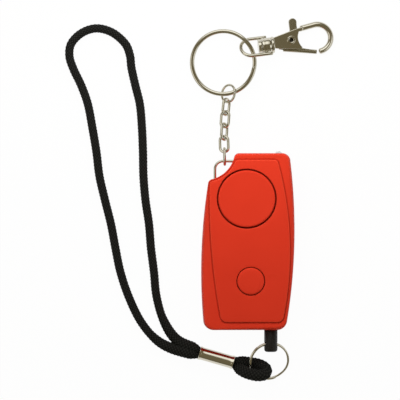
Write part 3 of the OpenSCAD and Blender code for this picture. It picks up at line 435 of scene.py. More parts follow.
# %% [markdown]
# Most pieces are made as by hand: add a primitive, work on it in edit mode, apply modifiers.
# An operator acts on all that is selected, so the helpers let go of everything first,
# select by place, and leave each finished piece at the origin with its place in its mesh.

# %% Hand tools
def edit_mode():
    bpy.ops.object.mode_set(mode="EDIT")


def object_mode():
    """Leave edit mode with the piece in hand."""
    bpy.ops.object.mode_set(mode="OBJECT")
    return bpy.context.object


def put_down():
    """Leave edit mode and let go of every object."""
    if bpy.context.object and bpy.context.object.mode == "EDIT":
        object_mode()
    bpy.ops.object.select_all(action="DESELECT")


def take(piece):
    """Make one piece the only selected and active one."""
    put_down()
    piece.select_set(True)
    bpy.context.view_layer.objects.active = piece


def opened_mesh():
    return bmesh.from_edit_mesh(bpy.context.object.data)


def select_all():
    bpy.ops.mesh.select_all(action="SELECT")


def closed_up():
    """Turn every face outwards and leave edit mode with the piece in hand."""
    select_all()
    bpy.ops.mesh.normals_make_consistent(inside=False)
    return object_mode()


def pick(kind, test):
    """Select the vertices or edges that pass a test."""
    bpy.ops.mesh.select_mode(type=kind)
    bpy.ops.mesh.select_all(action="DESELECT")
    bm = opened_mesh()
    for item in {"VERT": bm.verts, "EDGE": bm.edges}[kind]:
        if test(item):
            item.select_set(True)
    bm.select_flush_mode()
    bmesh.update_edit_mesh(bpy.context.object.data)


def set_selected(place):
    """Move every selected vertex to the place that the function gives for it."""
    bm = opened_mesh()
    for vertex in bm.verts:
        if vertex.select:
            vertex.co = place(vertex)
    bmesh.update_edit_mesh(bpy.context.object.data)


def use_modifier(piece, kind, **options):
    """Add a modifier and apply it at once."""
    take(piece)
    modifier = piece.modifiers.new(kind.title(), kind)
    for name, value in options.items():
        setattr(modifier, name, value)
    bpy.ops.object.modifier_apply(modifier=modifier.name)


def cut_out(piece, cutter, operation="DIFFERENCE"):
    """Take the cutter's shape out of the piece, or unite them, and take the cutter away."""
    use_modifier(piece, "BOOLEAN", object=cutter, operation=operation, solver="EXACT")
    bpy.data.objects.remove(cutter, do_unlink=True)


def soften(piece, sharper):
    """A small bevel on the edges that are sharper than an angle in degrees."""
    use_modifier(piece, "BEVEL", width=0.12 * MM, segments=2, limit_method="ANGLE",
                 angle_limit=math.radians(sharper))


def rod(start, way, radius, length, sides=48):
    """A plain rod from a point along a direction, as a cutter or a post."""
    put_down()
    way = Vector(way).normalized()
    bpy.ops.mesh.primitive_cylinder_add(vertices=sides, radius=radius * MM, depth=length * MM,
                                        location=(Vector(start) + way * length / 2) * MM,
                                        rotation=way.to_track_quat("Z", "Y").to_euler())
    return bpy.context.object


def joined(*parts):
    """Several objects made one."""
    take(parts[0])
    for part in parts[1:]:
        part.select_set(True)
    bpy.ops.object.transform_apply()
    bpy.ops.object.join()
    return bpy.context.object


def copied(pattern, places):
    """One piece at each place: the pattern and its copies, each with a mesh of its own."""
    pieces = [pattern]
    for _ in places[1:]:
        take(pattern)
        bpy.ops.object.duplicate()
        pieces.append(bpy.context.object)
    for piece, place in zip(pieces, places):
        piece.matrix_basis = place @ piece.matrix_basis
    return pieces


def dress(piece, name, body, slot, material, *nodes, angle=35, place=None):
    """Put a finished piece in its place, shade it, paint it and hang it on its body."""
    take(piece)
    piece.name = piece.data.name = name
    if place is not None:
        piece.matrix_world = place
    bpy.ops.object.transform_apply()
    bpy.ops.object.shade_smooth_by_angle(angle=math.radians(angle))
    piece.data.materials.clear()
    piece.data.materials.append(material)
    if nodes:
        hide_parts(*nodes)
    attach(piece, body)
    print(name, len(piece.data.polygons), "faces")


def shift(x, y, z):
    return Matrix.Translation(Vector((x, y, z)) * MM)


def turn(degrees, axis):
    return Matrix.Rotation(math.radians(degrees), 4, axis)


# %% [markdown]
# Round parts are turned as on a lathe: one vertex is drawn along half of the section,
# and the line is spun round the axis. Wire parts are swept: a ring of vertices is set on the
# first section and extruded from section to section, so that bends and windings stay even.

# %% Lathe and wire tools
def turned(profile, sides=96):
    """Spin a profile of (radius, height) in millimetres round the Z axis."""
    put_down()
    bpy.ops.mesh.primitive_plane_add(size=MM)
    edit_mode()
    bpy.ops.mesh.select_mode(type="VERT")
    select_all()
    bpy.ops.mesh.merge(type="CENTER")
    select_all()
    set_selected(lambda v: Vector((profile[0][0], 0, profile[0][1])) * MM)
    for r, z in profile[1:]:
        bpy.ops.mesh.extrude_vertices_move()
        set_selected(lambda v: Vector((r, 0, z)) * MM)
    select_all()
    bpy.ops.mesh.spin(steps=sides, angle=2 * math.pi, center=(0, 0, 0), axis=(0, 0, 1))
    select_all()
    bpy.ops.mesh.remove_doubles(threshold=0.002 * MM)
    return closed_up()


def drawn(points, *layers):
    """A closed line through the points, in edit mode; the layer "along" numbers its vertices."""
    put_down()
    bpy.ops.mesh.primitive_circle_add(vertices=len(points), radius=MM)
    edit_mode()
    bpy.ops.mesh.select_mode(type="EDGE")
    select_all()
    bm = opened_mesh()
    for name in ("along", *layers):
        bm.verts.layers.float.new(name)
    along = bm.verts.layers.float["along"]
    for k, vertex in enumerate(bm.verts):
        vertex[along] = k
        vertex.co = points[k]
    bmesh.update_edit_mesh(bpy.context.object.data)


def swept(rings):
    """Extrude a closed section through a list of rings, each with the same number of points."""
    drawn(rings[0])
    bpy.ops.mesh.edge_face_add()
    for ring in rings[1:]:
        bpy.ops.mesh.extrude_edges_move()
        along = opened_mesh().verts.layers.float["along"]
        set_selected(lambda v: ring[round(v[along])])
    bpy.ops.mesh.edge_face_add()
    piece = closed_up()
    piece.data.attributes.remove(piece.data.attributes["along"])
    return piece


def wire(path, radius, sides=20, blunt=0.6):
    """A round wire along a path in millimetres, with both ends rounded off."""
    angles = [2 * math.pi * k / sides for k in range(sides)]
    rings, last = [], len(path) - 1
    for i, p in enumerate(path):
        way = (path[min(i + 1, last)] - path[max(i - 1, 0)]).normalized()
        across = Vector((0, 0, 1)).cross(way).normalized()
        over = way.cross(across)
        for b in {0: (-1.25, -0.95, -0.5, 0), last: (0, 0.5, 0.95, 1.25)}.get(i, (0,)):
            middle, r = p + way * blunt * radius * math.sin(b), radius * math.cos(b)
            rings.append([(middle + r * (across * math.cos(a) + over * math.sin(a))) * MM for a in angles])
    return swept(rings)


def line(start, end, steps):
    """Points on a straight line, with both of its ends."""
    return [Vector(start).lerp(Vector(end), k / steps) for k in range(steps + 1)]


def bow(middle, radius, start, end, steps):
    """Points on an arc in the XY plane, from one angle to another in degrees."""
    angles = [math.radians(start + (end - start) * k / steps) for k in range(steps + 1)]
    return [Vector((middle[0] + radius * math.cos(a), middle[1] + radius * math.sin(a), 0)) for a in angles]


print("lathe and wire tools ready")

# %% [markdown]
# The ferrule is a short nickel tube that was pressed round the two strands of the cord.
# It is turned: a straight middle, a soft flare at both mouths and a mouth that opens onto the cord.

# %% Ferrule
bore = 2.47
flare = [(0, mouth_depth), (bore, mouth_depth), (bore, 0.1), (2.56, 0), (2.68, 0), (2.75, 0.1), (2.74, 0.45),
         (2.66, 0.8), (2.58, 1.1), (2.55, 1.5), (2.55, 2.4)]
lower = [(r, z - ferrule_half) for r, z in flare]
ferrule = turned(lower + [(r, -z) for r, z in lower[::-1]], sides=72)
dress(ferrule, "strap_ferrule", "strap", "nickel", nickel, "crimp_ferrule",
      place=Matrix.Translation(ferrule_middle) @ turn(ferrule_heading, "Z") @ turn(90, "Y"))

# %% [markdown]
# The case is bowed on both sides and has a round bite at the top left, where the wire bail sits.
# Its outline is eight arcs that run into each other. The front panel has an outline of its own,
# with the same eight arcs, so a point on one outline has its partner on the other.

# %% Outlines of the case
crown_radius = 600.0
case_top = 15.0
case_shape = dict(left=(-18.75, -12), right=(18.55, 5), left_r=225, right_r=225, top=35.3, bottom=-35.3,
                  bite=12, bite_end=2, top_r=3.2, bottom_r=4)
cavity_shape = dict(case_shape, bite=12.6, bite_end=3, top_r=2.45)
panel_shape = dict(left=(-15.4, 18), right=(16.6, -4), left_r=265, right_r=135, top=32.5, bottom=-32,
                   bite=12.9, bite_end=1.4, top_r=1.6, bottom_r=2.6)
bite_middle = Vector((-17.2, 36.6))


def crown(y):
    """Height of the crowned front at a distance from the middle."""
    return case_top - y * y / (2 * crown_radius)


def outline(shape, inset):
    """Points round a bowed outline, drawn in by inset, in millimetres."""
    left_r, right_r = shape["left_r"], shape["right_r"]
    left = Vector((shape["left"][0] + left_r, shape["left"][1]))
    right = Vector((shape["right"][0] - right_r, shape["right"][1]))
    bite, end = shape["bite"], shape["bite_end"]

    def corner(middle, r, y, side):
        return Vector((middle.x + side * math.sqrt(r * r - (y - middle.y) ** 2), y))

    def heading(v):
        return math.degrees(math.atan2(v.y, v.x)) % 360

    top_r, bottom_r = shape["top_r"], shape["bottom_r"]
    br = corner(right, right_r - bottom_r, shape["bottom"] + bottom_r, 1)
    tr = corner(right, right_r - top_r, shape["top"] - top_r, 1)
    nt = corner(bite_middle, bite + end, shape["top"] - end, 1)
    apart = left - bite_middle
    t = ((bite + end) ** 2 - (left_r - end) ** 2 + apart.length_squared) / (2 * apart.length)
    h = math.sqrt((bite + end) ** 2 - t * t)
    e = apart.normalized()
    nl = Vector((bite_middle.x + e.x * t + e.y * h, bite_middle.y + e.y * t - e.x * h))
    bl = corner(left, left_r - bottom_r, shape["bottom"] + bottom_r, -1)
    signed = lambda v: (heading(v) + 180) % 360 - 180
    arcs = [
        (br, bottom_r - inset, -90, signed(br - right), 12),
        (right, right_r - inset, signed(br - right), signed(tr - right), 44),
        (tr, top_r - inset, signed(tr - right), 90, 12),
        (nt, end - inset, 90, heading(bite_middle - nt), 10),
        (bite_middle, bite + inset, signed(nt - bite_middle), signed(nl - bite_middle), 28),
        (nl, end - inset, heading(bite_middle - nl), heading(nl - left), 10),
        (left, left_r - inset, heading(nl - left), heading(bl - left), 44),
        (bl, bottom_r - inset, heading(bl - left), 270, 12),
    ]
    points = []
    for k, (middle, r, a0, a1, steps) in enumerate(arcs):
        arc_points = bow(middle, r, a0, a1, steps)
        points += [p.to_2d() for p in (arc_points if k in (0, 3) else arc_points[1:])]
    return points


def on_outline(points, along):
    """The point at a place along an outline, counted in points."""
    k = int(along)
    a, b = points[k % len(points)], points[(k + 1) % len(points)]
    return a + (b - a) * (along - k)


case_edge = outline(case_shape, 0)
print("outline points:", len(case_edge))

# %% [markdown]
# The front shell starts as its panel: the outline and the two round holes are drawn as circles and
# filled, and cut into strips so that the face can take its long crown. Then the edge of the panel
# is extruded outwards ring by ring: over a soft step, through a fine groove, down the sloping
# rim and the side to the parting line, and back up the inside to the ceiling.

# %% Front shell: panel
sound_middle, sound_hole_r = Vector((-0.6, 17.1)), 11.9
button_middle, button_hole_r = Vector((1, -15.7)), 5.7
sound_start_r, button_start_r = sound_hole_r + 0.3, button_hole_r + 0.22
strip = 1.27
drawn(metres(outline(panel_shape, 0.34)), "wear_and_highlight", "painted_shade")
for middle, r, sides in ((sound_middle, sound_start_r, 112), (button_middle, button_start_r, 80)):
    bpy.ops.mesh.primitive_circle_add(vertices=sides, radius=r * MM,
                                      location=(middle.x * MM, middle.y * MM, 0))
select_all()
bpy.ops.mesh.fill(use_beauty=True)
for k in range(-25, 26):
    select_all()
    bpy.ops.mesh.bisect(plane_co=(0, k * strip * MM, 0), plane_no=(0, 1, 0))
select_all()
set_selected(lambda v: Vector((v.co.x, v.co.y, crown(v.co.y / MM) * MM)))
print("panel:", len(opened_mesh().faces), "faces")


# %% Front shell: rim, sides and inside
def around_hole(edge, middle, r):
    near = [abs((v.co.to_2d() / MM - middle).length - r) < 0.02 for v in edge.verts]
    return edge.is_boundary and all(near)


def next_ring(place, worn_and_highlit=0.0, painted_shade=0.0):
    """Extrude the selected loop and set each new vertex by its place along the outline."""
    bpy.ops.mesh.extrude_edges_move()
    layers = opened_mesh().verts.layers.float

    def spot(vertex):
        # Paler edges (partly rubbed, partly a painted highlight) and painted shade, stored on the new
        # vertices.
        vertex[layers["wear_and_highlight"]], vertex[layers["painted_shade"]] = worn_and_highlit, painted_shade
        return Vector(place(vertex[layers["along"]], vertex.co / MM)) * MM
    set_selected(spot)


def outline_ring(shape, inset, height):
    """Places on an outline, each at the height that the function gives for its y."""
    points = outline(shape, inset)

    def place(along, old):
        p = on_outline(points, along)
        return p.x, p.y, height(p.y)
    return place


def level_ring(shape, inset, z):
    return outline_ring(shape, inset, lambda y: z)


def hole_ring(middle, r, height):
    """Places round a hole, each at the height that the function gives for its y."""
    def place(along, old):
        spot = middle + (old.to_2d() - middle).normalized() * r
        return spot.x, spot.y, height(spot.y)
    return place


parting, ceiling, ledge = 3.8, 12.0, 12.9
rim_start = outline(panel_shape, -0.62)
rim_drop = 0.56
shoulder = [(1.2, 13.5), (0.6, 12.6), (0.2, 10.8), (0.0, 4.0)]


def rim_ring(t):
    """A ring on the rim's section, from the groove at t = 0 over the shoulder to the parting line at 4."""
    def place(along, old):
        inner, outer = on_outline(rim_start, along), on_outline(case_edge, along)
        width = (inner - outer).length
        knots = [(width, crown(inner.y) - rim_drop)] + [(min(i, width * i / 3), z) for i, z in shoulder]
        k = min(int(t), 3)
        a, b, c, d = (Vector(knots[min(max(j, 0), 4)]) for j in (k - 1, k, k + 1, k + 2))
        p = spline(a, b, c, d, t - k)
        spot = outer + (inner - outer) * (max(0.0, p.x) / width)
        return spot.x, spot.y, p.y
    return place


panel_steps = [
    # inset, drop below the crown, paler edge (partly rubbed, partly a painted highlight), painted shade
    (0.2, 0.02, 0.6, 0), (0.09, 0.08, 1, 0), (0.03, 0.18, 0.6, 0), (0, 0.32, 0.1, 0.2), (-0.02, 0.6, 0, 0.6),
    (-0.14, 0.74, 0, 0.7), (-0.32, 0.76, 0, 0.7), (-0.46, 0.7, 0, 0.5), (-0.56, 0.6, 0.2, 0.1),
]
holes = [
    # middle, first radius, (radius, drop below the crown) of its edge, (radius, height) of its wall
    (sound_middle, sound_start_r, ((12.06, 0.03), (11.96, 0.12), (sound_hole_r, 0.3)),
     ((sound_hole_r, ledge), (8.3, ledge), (8.3, ceiling))),
    (button_middle, button_start_r, ((5.8, 0.03), (5.73, 0.1), (button_hole_r, 0.24)),
     ((button_hole_r, ceiling),)),
]
pick("EDGE", lambda e: e.is_boundary and not around_hole(e, sound_middle, sound_start_r)
     and not around_hole(e, button_middle, button_start_r))
for inset, drop, worn_and_highlit, painted_shade in panel_steps:
    next_ring(outline_ring(panel_shape, inset, lambda y: crown(y) - drop), worn_and_highlit, painted_shade)
for t in (0, 0.2, 0.4, 0.6, 0.8, 1, 1.35, 1.7, 2, 2.35, 2.7, 3, 3.35, 3.7, 4):
    next_ring(rim_ring(t))
for shape, inset, z in ((case_shape, 0.05, 3.86), (case_shape, 0.16, parting), (cavity_shape, 1.6, parting),
                        (cavity_shape, 1.6, ceiling)):
    next_ring(level_ring(shape, inset, z))
for middle, start_r, soft_edge, wall in holes:
    pick("EDGE", lambda e: around_hole(e, middle, start_r))
    for r, drop in soft_edge:
        # Round each hole the rim gets a paler edge (partly rubbed, partly a painted highlight) and the wall
        # below it painted shade.
        worn_and_highlit = 0.5 if drop < 0.2 else 0.0
        next_ring(hole_ring(middle, r, lambda y: crown(y) - drop), worn_and_highlit, 1 - 2 * worn_and_highlit)
    for r, z in wall:
        next_ring(hole_ring(middle, r, lambda y: z), 0.0, 1.0)
pick("EDGE", lambda e: e.is_boundary)
bpy.ops.mesh.fill(use_beauty=True)
front = closed_up()
print("front shell:", len(front.data.polygons), "faces")

# %% [markdown]
# The shell's openings are cut with rods: the hole of the pull pin, the hole of the lamp and the two
# bores of the bail. Inside, a tube holds the sounder and three posts take the screws.

# %% Front shell: holes and posts
pin_x, pin_z = 9.05, 7.0
lamp_x, lamp_z = 12.15, 8.0
bail_x, bail_y, bail_z, bail_bend = -13.25, 32.1, 7.5, 3.2
screw_spots = [(5, 31.0), (-13.05, -28.5), (13.65, -19.0)]
for cutter in (rod((pin_x, -37, pin_z), (0, 1, 0), 2.75, 4),
               rod((lamp_x, 32, lamp_z), (0, 1, 0), 1.55, 5),
               rod((bail_x + bail_bend, bail_y, bail_z), (1, 0, 0), 0.6, 8.0),
               rod((bail_x, bail_y - bail_bend, bail_z), (0, -1, 0), 0.6, 7.6)):
    cut_out(front, cutter)
screw_places = [shift(x, y, 0) for x, y in screw_spots]
post_profile = [(0.75, 3.9), (2.25, 3.9), (2.3, 4.0), (2.3, 12.2), (0.75, 12.2), (0.75, 3.9)]
posts = copied(turned(post_profile, sides=40), screw_places)
tube = turned([(10.15, 9.0), (11.6, 9.0), (11.65, 9.05), (11.65, 12.2), (10.15, 12.2), (10.15, 9.0)])
tube.location = Vector((*sound_middle, 0)) * MM
front = joined(front, *posts, tube)
front.data.attributes.remove(front.data.attributes["along"])
dress(front, "case_front", "case", "red_plastic", red_plastic, "front_shell", angle=28)

# %% [markdown]
# The rear shell is a shallow tray with a rounded edge and a flat back, so it starts as a filled
# outline and goes up the side to the parting line, over the lip that locates the front shell, and
# down to the floor. The battery opening, the door's seat and the screw holes are cut out of it.

# %% Rear shell
door_middle, door_size, door_hole = Vector((0, -2.2)), (19.1, 13.0), (17.5, 11.4)
door_screw = Vector((0, -10.1))
up = (0, 0, 1)
post_foot = 1.3


def rounded_slab(w, h, z0, z1, r, middle):
    """A slab with rounded corners, as a cutter or a plate."""
    put_down()
    bpy.ops.mesh.primitive_cube_add(size=1, location=(middle.x * MM, middle.y * MM, (z0 + z1) / 2 * MM))
    bpy.context.object.scale = Vector((w, h, z1 - z0)) * MM
    bpy.ops.object.transform_apply()
    edit_mode()
    pick("EDGE", lambda e: abs(e.verts[0].co.z - e.verts[1].co.z) > 0.5 * (z1 - z0) * MM)
    bpy.ops.mesh.bevel(offset=r * MM, segments=8)
    return object_mode()


def hollow_post(bore, top):
    """A screw post on the floor of the shell."""
    profile = [(bore, post_foot), (2.25, post_foot), (2.25, top), (bore, top), (bore, post_foot)]
    return turned(profile, sides=40)


rear_side = ((1.3, 0.06), (0.9, 0.24), (0.55, 0.52), (0.25, 0.98), (0.07, 1.45), (0, 1.9), (0, 2.8),
             (0, 3.66), (0.05, 3.74), (0.16, parting))
rear_lip = ((1.75, parting), (1.75, 4.7), (1.85, 4.8), (2.3, 4.8), (2.3, 1.6))
drawn(metres(outline(case_shape, 1.7)), "wear_and_highlight", "painted_shade")
bpy.ops.mesh.edge_face_add()
for shape, steps in ((case_shape, rear_side), (cavity_shape, rear_lip)):
    for inset, z in steps:
        next_ring(level_ring(shape, inset, z))
bpy.ops.mesh.edge_face_add()
rear = closed_up()
cutters = [rounded_slab(door_size[0] + 0.3, door_size[1] + 0.3, -1, 1, 1.5, door_middle),
           rounded_slab(*door_hole, -1, 3, 1, door_middle),
           rod((*door_screw, -1), up, 2.95, 2), rod((*door_screw, 0.5), up, 0.75, 3)]
cutters += copied(rod((0, 0, -1), up, 1.85, 2.2), screw_places)
cutters += copied(rod((0, 0, 0), up, 1.0, 6), screw_places)
for cutter in cutters:
    cut_out(rear, cutter)
peg_places = [shift(x, y, 0) for x, y in ((-9, -14.6), (8.6, -14.6), (-4, -30.5))]
posts = copied(hollow_post(1.0, 3.78), screw_places)
posts += copied(hollow_post(0.75, 4.4), [shift(*door_screw, 0)])
posts += copied(rod((0, 0, 1.4), up, 1.1, 1.0, 32), peg_places)
posts += copied(rounded_slab(1.6, 7, post_foot, 8.8, 0.2, Vector((0, door_middle.y))),
                [shift(-10.55, 0, 0), shift(9.85, 0, 0)])
rear = joined(rear, *posts)
rear.data.attributes.remove(rear.data.attributes["along"])
dress(rear, "case_back", "case", "red_plastic", red_plastic, "rear_shell", angle=28)

# %% [markdown]
# The battery door is a thin plate with a tab for its screw and a few finger grooves.
# Its edges get a small bevel, because a moulded edge always catches some light.

# %% Battery door
door = rounded_slab(*door_size, 0, 1, 1.5, door_middle)
cut_out(door, rod((*door_screw, 0), up, 2.8, 1, 64), "UNION")
cut_out(door, rod((*door_screw, -1), up, 1.0, 3))
cut_out(door, rod((*door_screw, -1), up, 1.85, 1.7))
groove = rounded_slab(0.8, 3, -1, 0.3, 0.39, Vector((0, door_middle.y + door_size[1] / 2 - 3)))
for cutter in copied(groove, [shift(2 * k, 0, 0) for k in range(-2, 3)]):
    cut_out(door, cutter)
soften(door, 50)
dress(door, "battery_cover", "case", "red_plastic", red_plastic, "battery_door")

# %% [markdown]
# The sound disc covers the sounder and leaves a narrow ring open for the sound. It is turned with
# a rounded rim and a very slight dish, and three small feet carry it on the ledge.
# The button is turned too, with a low dome that stands just above the panel.

# %% Sound disc and button
def paint_shade(piece, hidden):
    """Mark the part of a piece that lies low in a gap for painted shade; the test gets a place in
    millimetres.
    """
    painted_levels = [1.0 if hidden(v.co / MM) else 0.0 for v in piece.data.vertices]
    piece.data.attributes.new("painted_shade", "FLOAT", "POINT").data.foreach_set("value", painted_levels)


disc_top = crown(sound_middle.y) + 0.25
disc_drops = [(0, 1.6), (11.15, 1.6), (11.3, 1.45), (11.3, 0.5), (11.26, 0.3), (11.15, 0.15), (10.98, 0.05),
              (10.75, 0), (10.3, 0.01), (9.6, 0.06), (5, 0.08), (0, 0.08)]
disc = turned([(r, disc_top - drop) for r, drop in disc_drops], sides=128)
disc.location = Vector((*sound_middle, 0)) * MM
feet = copied(rounded_slab(1.2, 1.6, ledge, disc_top - 1.5, 0.2, Vector((9.1, 0))),
              [shift(*sound_middle, 0) @ turn(angle, "Z") for angle in (30, 150, 270)])
disc = joined(disc, *feet)
dress(disc, "sounder_disc", "case", "red_plastic", red_plastic, "sound_disc", angle=40)
# The disc's rim and feet below its face get painted shade.
paint_shade(disc, lambda v: v.z < disc_top - 0.4)

button_top = crown(button_middle.y) + 0.5
button_foot = [(0, 8.2), (1.9, 8.2), (2, 8.3), (2, 11.1), (6.3, 11.1), (6.4, 11.2), (6.4, 11.9), (5.4, 11.9)]
button_drops = [(5.4, 0.72), (5.37, 0.5), (5.28, 0.34), (5.1, 0.22), (4.8, 0.14), (4.1, 0.06), (2.7, 0.01),
                (0, 0)]
button = turned(button_foot + [(r, button_top - drop) for r, drop in button_drops])
dress(button, "alarm_button", "button", "red_plastic", red_plastic, "push_button", angle=40,
      place=shift(*button_middle, 0))
# The button's sides below its dome get painted shade.
paint_shade(button, lambda v: v.z < button_top - 0.6)

# %% [markdown]
# The lamp is a clear lens that looks out of the top edge. It is turned as a barrel with a round
# nose, and its two leads are thin wires behind it.

# %% Lamp
lens_r, nose_start = 1.5, -0.7
nose = [p.to_2d() for p in bow((0, nose_start), lens_r, 0, 90, 10)]
lens = turned([(0, -2.6), (1.75, -2.6), (1.75, -1.6), (lens_r, -1.6)] + nose, sides=64)
dress(lens, "lamp_lens", "case", "clear", clear_plastic, "lamp",
      place=shift(lamp_x, case_shape["top"], lamp_z) @ turn(-90, "X"))
lead = wire(line((lamp_x, 32.72, lamp_z), (lamp_x, 27.72, lamp_z), 5), 0.24, sides=12)
leads = joined(*copied(lead, [shift(-0.9, 0, 0), shift(0.9, 0, 0)]))
dress(leads, "lamp_leads", "case", "screw_steel", screw_steel)

# %% [markdown]
# The pull pin is a black plastic plug: a thick grip outside the case and a thin stem that holds the
# alarm's contacts apart. It is turned, and the cross hole for the ring is cut with a rod.

# %% Pull pin
pin_end, pin_foot, pin_tip, pin_hole = -44.0, -33.9, -24.6, -40.6
grip, stem = pin_foot - pin_end, pin_tip - pin_end
pin = turned([(0, 0), (1.45, 0), (1.85, 0.06), (2.2, 0.22), (2.48, 0.5), (2.61, 0.85), (2.65, 1.25),
              (2.65, grip - 0.2), (2.5, grip), (1.6, grip), (1.6, stem - 0.8), (1.5, stem - 0.5),
              (0.9, stem), (0, stem)], sides=72)
pin.matrix_world = shift(pin_x, pin_end, pin_z) @ turn(-90, "X")
ring_lean = turn(12, "Y")
slope = ring_lean @ Vector((1, 0, 0))
cut_out(pin, rod(Vector((pin_x, pin_hole, pin_z)) - slope * 5, slope, 1.2, 10))
soften(pin, 55)
dress(pin, "pull_plug", "pin", "black_plastic", black_plastic, "pull_pin", angle=40)

# %% [markdown]
# The key ring and the small ring of the pin are split rings: one flattened wire wound nearly twice,
# that climbs from its lower turn to its upper one. The section is an oval that is a little squared,
# swept through both turns, so the step where the wire crosses over is real.

# %% Split rings
def split_ring(radius, width, thick, level, steps=200):
    """A wire wound nearly twice, from a level below the middle to the same level above it."""
    first, last = 61.0, 714.0
    cross_start, cross_over = 360.0, 55.0
    squared = 2.3
    rings = []
    for i in range(steps + 1):
        a = first + (last - first) * i / steps
        climb = -level * math.cos(math.pi * min(1.0, max(0.0, (a - cross_start) / cross_over)))
        squeeze = min(1.0, 0.72 + 0.28 * min(i, steps - i) / 2)
        ring = []
        for k in range(16):
            b = 2 * math.pi * (k + 0.5) / 16
            c, s = math.cos(b), math.sin(b)
            bulge = (abs(c) ** squared + abs(s) ** squared) ** (-1 / squared)
            r = radius + squeeze * width / 2 * c * bulge
            ring.append(Vector((r * math.cos(math.radians(a)), r * math.sin(math.radians(a)),
                                climb + squeeze * thick / 2 * s * bulge)) * MM)
        rings.append(ring)
    return swept(rings)


key_ring_middle, key_ring_tilt, tilt_heading = (-9.906, 71.477, 2.797), 6.932, 185
tilt = turn(tilt_heading, "Z") @ turn(key_ring_tilt, "Y") @ turn(-tilt_heading, "Z")
dress(split_ring(12.55, 1.7, 1.1, 0.6), "split_key_ring", "keys", "nickel", nickel, "key_ring", angle=50,
      place=shift(*key_ring_middle) @ tilt)
pin_ring_r = 7.65
pin_ring_place = (shift(pin_x, pin_hole, pin_z) @ ring_lean @ turn(22.2, "X") @ shift(0, -pin_ring_r, 0)
                  @ turn(-60, "Z"))
dress(split_ring(pin_ring_r, 0.9, 0.62, 0.34, steps=150), "split_pin_ring", "ring", "nickel", nickel,
      "pin_ring", angle=50, place=pin_ring_place)

# %% [markdown]
# The bail is a bent wire whose ends sit in the case. The chain hangs on it: five oval links, each
# a torus whose two halves are pulled apart, and a round jump ring with its cut showing.

# %% Bail, chain and jump ring
bend_x, bend_y = bail_x + bail_bend, bail_y - bail_bend
bail_path = (line((bend_x + 7.3, bail_y, 0), (bend_x, bail_y, 0), 8)[:-1]
             + bow((bend_x, bend_y), bail_bend, 90, 180, 18)
             + line((bail_x, bend_y, 0), (bail_x, bend_y - 7.0, 0), 8)[1:])
dress(wire(bail_path, 0.55), "bail_wire", "case", "nickel", nickel, "wire_bail", angle=50,
      place=shift(0, 0, bail_z))


def cad_middle(node):
    """The middle of a CAD node's box, in millimetres."""
    low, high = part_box(node)
    return (low + high) / 2 / MM


chain = [
    # node, body, heading and roll in degrees
    ("chain_end_link", "end_link", 1, 90), ("chain_link_4", "link_4", 2, -15),
    ("chain_link_3", "link_3", -3, 50), ("chain_link_2", "link_2", -4, -25),
    ("chain_link_1", "link_1", -6, 45),
]
link_r, link_wire_r, link_stretch = 1.7, 0.58, 1.5
jump_r, jump_wire_r = 3.5, 0.5
fall = cad_middle("chain_link_4") - cad_middle("chain_end_link")
chain_slope = math.degrees(math.atan2(-fall.z, fall.to_2d().length))


def oval_link():
    """A torus with its two halves pulled apart, so that its long sides are straight."""
    put_down()
    bpy.ops.mesh.primitive_torus_add(major_segments=64, minor_segments=24, major_radius=link_r * MM,
                                     minor_radius=link_wire_r * MM, rotation=(0, 0, math.pi / 64))
    bpy.ops.object.transform_apply()
    edit_mode()
    for side in (-1, 1):
        pick("VERT", lambda v: v.co.y * side > 0)
        bpy.ops.transform.translate(value=(0, side * link_stretch * MM, 0))
    return object_mode()


links = copied(oval_link(), [
    shift(*cad_middle(node)) @ turn(heading, "Z") @ turn(-chain_slope, "X") @ turn(roll, "Y")
    for node, body, heading, roll in chain])
for link, (node, body, heading, roll) in zip(links, chain):
    dress(link, node + "_wire", body, "nickel", nickel, node, angle=60)
jump = wire(bow((0, 0), jump_r, 22, 379, 96), jump_wire_r, blunt=0.1)
dress(jump, "jump_ring_wire", "jump", "nickel", nickel, "jump_ring", angle=50,
      place=shift(*cad_middle("jump_ring")) @ turn(-12, "Z") @ turn(-44, "Y"))

# %% [markdown]
# The clasp's hook and trigger are cast metal, with every edge rounded by the mould and the plating.
# A copy of the CAD shape is merged, laid level and joined with a rod for the bow, a slab for the tab
# and a rod for the gate, which are fuller, as in the photograph. Then it is remeshed with fine voxels
# and smoothed: that rounds the whole piece evenly, which a bevel on so many crossing edges can't do,
# and a level piece keeps its flat faces flat.

# %% Clasp castings
clasp_heading, clasp_dip, rivet_off_axis = 7, 5.7, 1
rivet_place = shift(*cad_middle("trigger_rivet")) @ turn(clasp_heading, "Z") @ turn(clasp_dip, "Y")
clasp_place = rivet_place @ shift(0, -rivet_off_axis, 0)


def cast_copy(node, voxel, rounds, *fuller):
    """A rounded copy of a CAD node, made fuller by pieces that lie in the clasp's own frame."""
    take(frame["nodes"][node])
    bpy.ops.object.duplicate()
    bpy.ops.object.parent_clear(type="CLEAR_KEEP_TRANSFORM")
    piece = bpy.context.object
    edit_mode()
    select_all()
    bpy.ops.mesh.remove_doubles(threshold=0.001 * MM)
    object_mode()
    piece.matrix_world = clasp_place.inverted()
    bpy.ops.object.transform_apply()
    piece = joined(piece, *fuller)
    use_modifier(piece, "REMESH", mode="VOXEL", voxel_size=voxel * MM)
    use_modifier(piece, "SMOOTH", factor=0.5, iterations=rounds)
    return piece


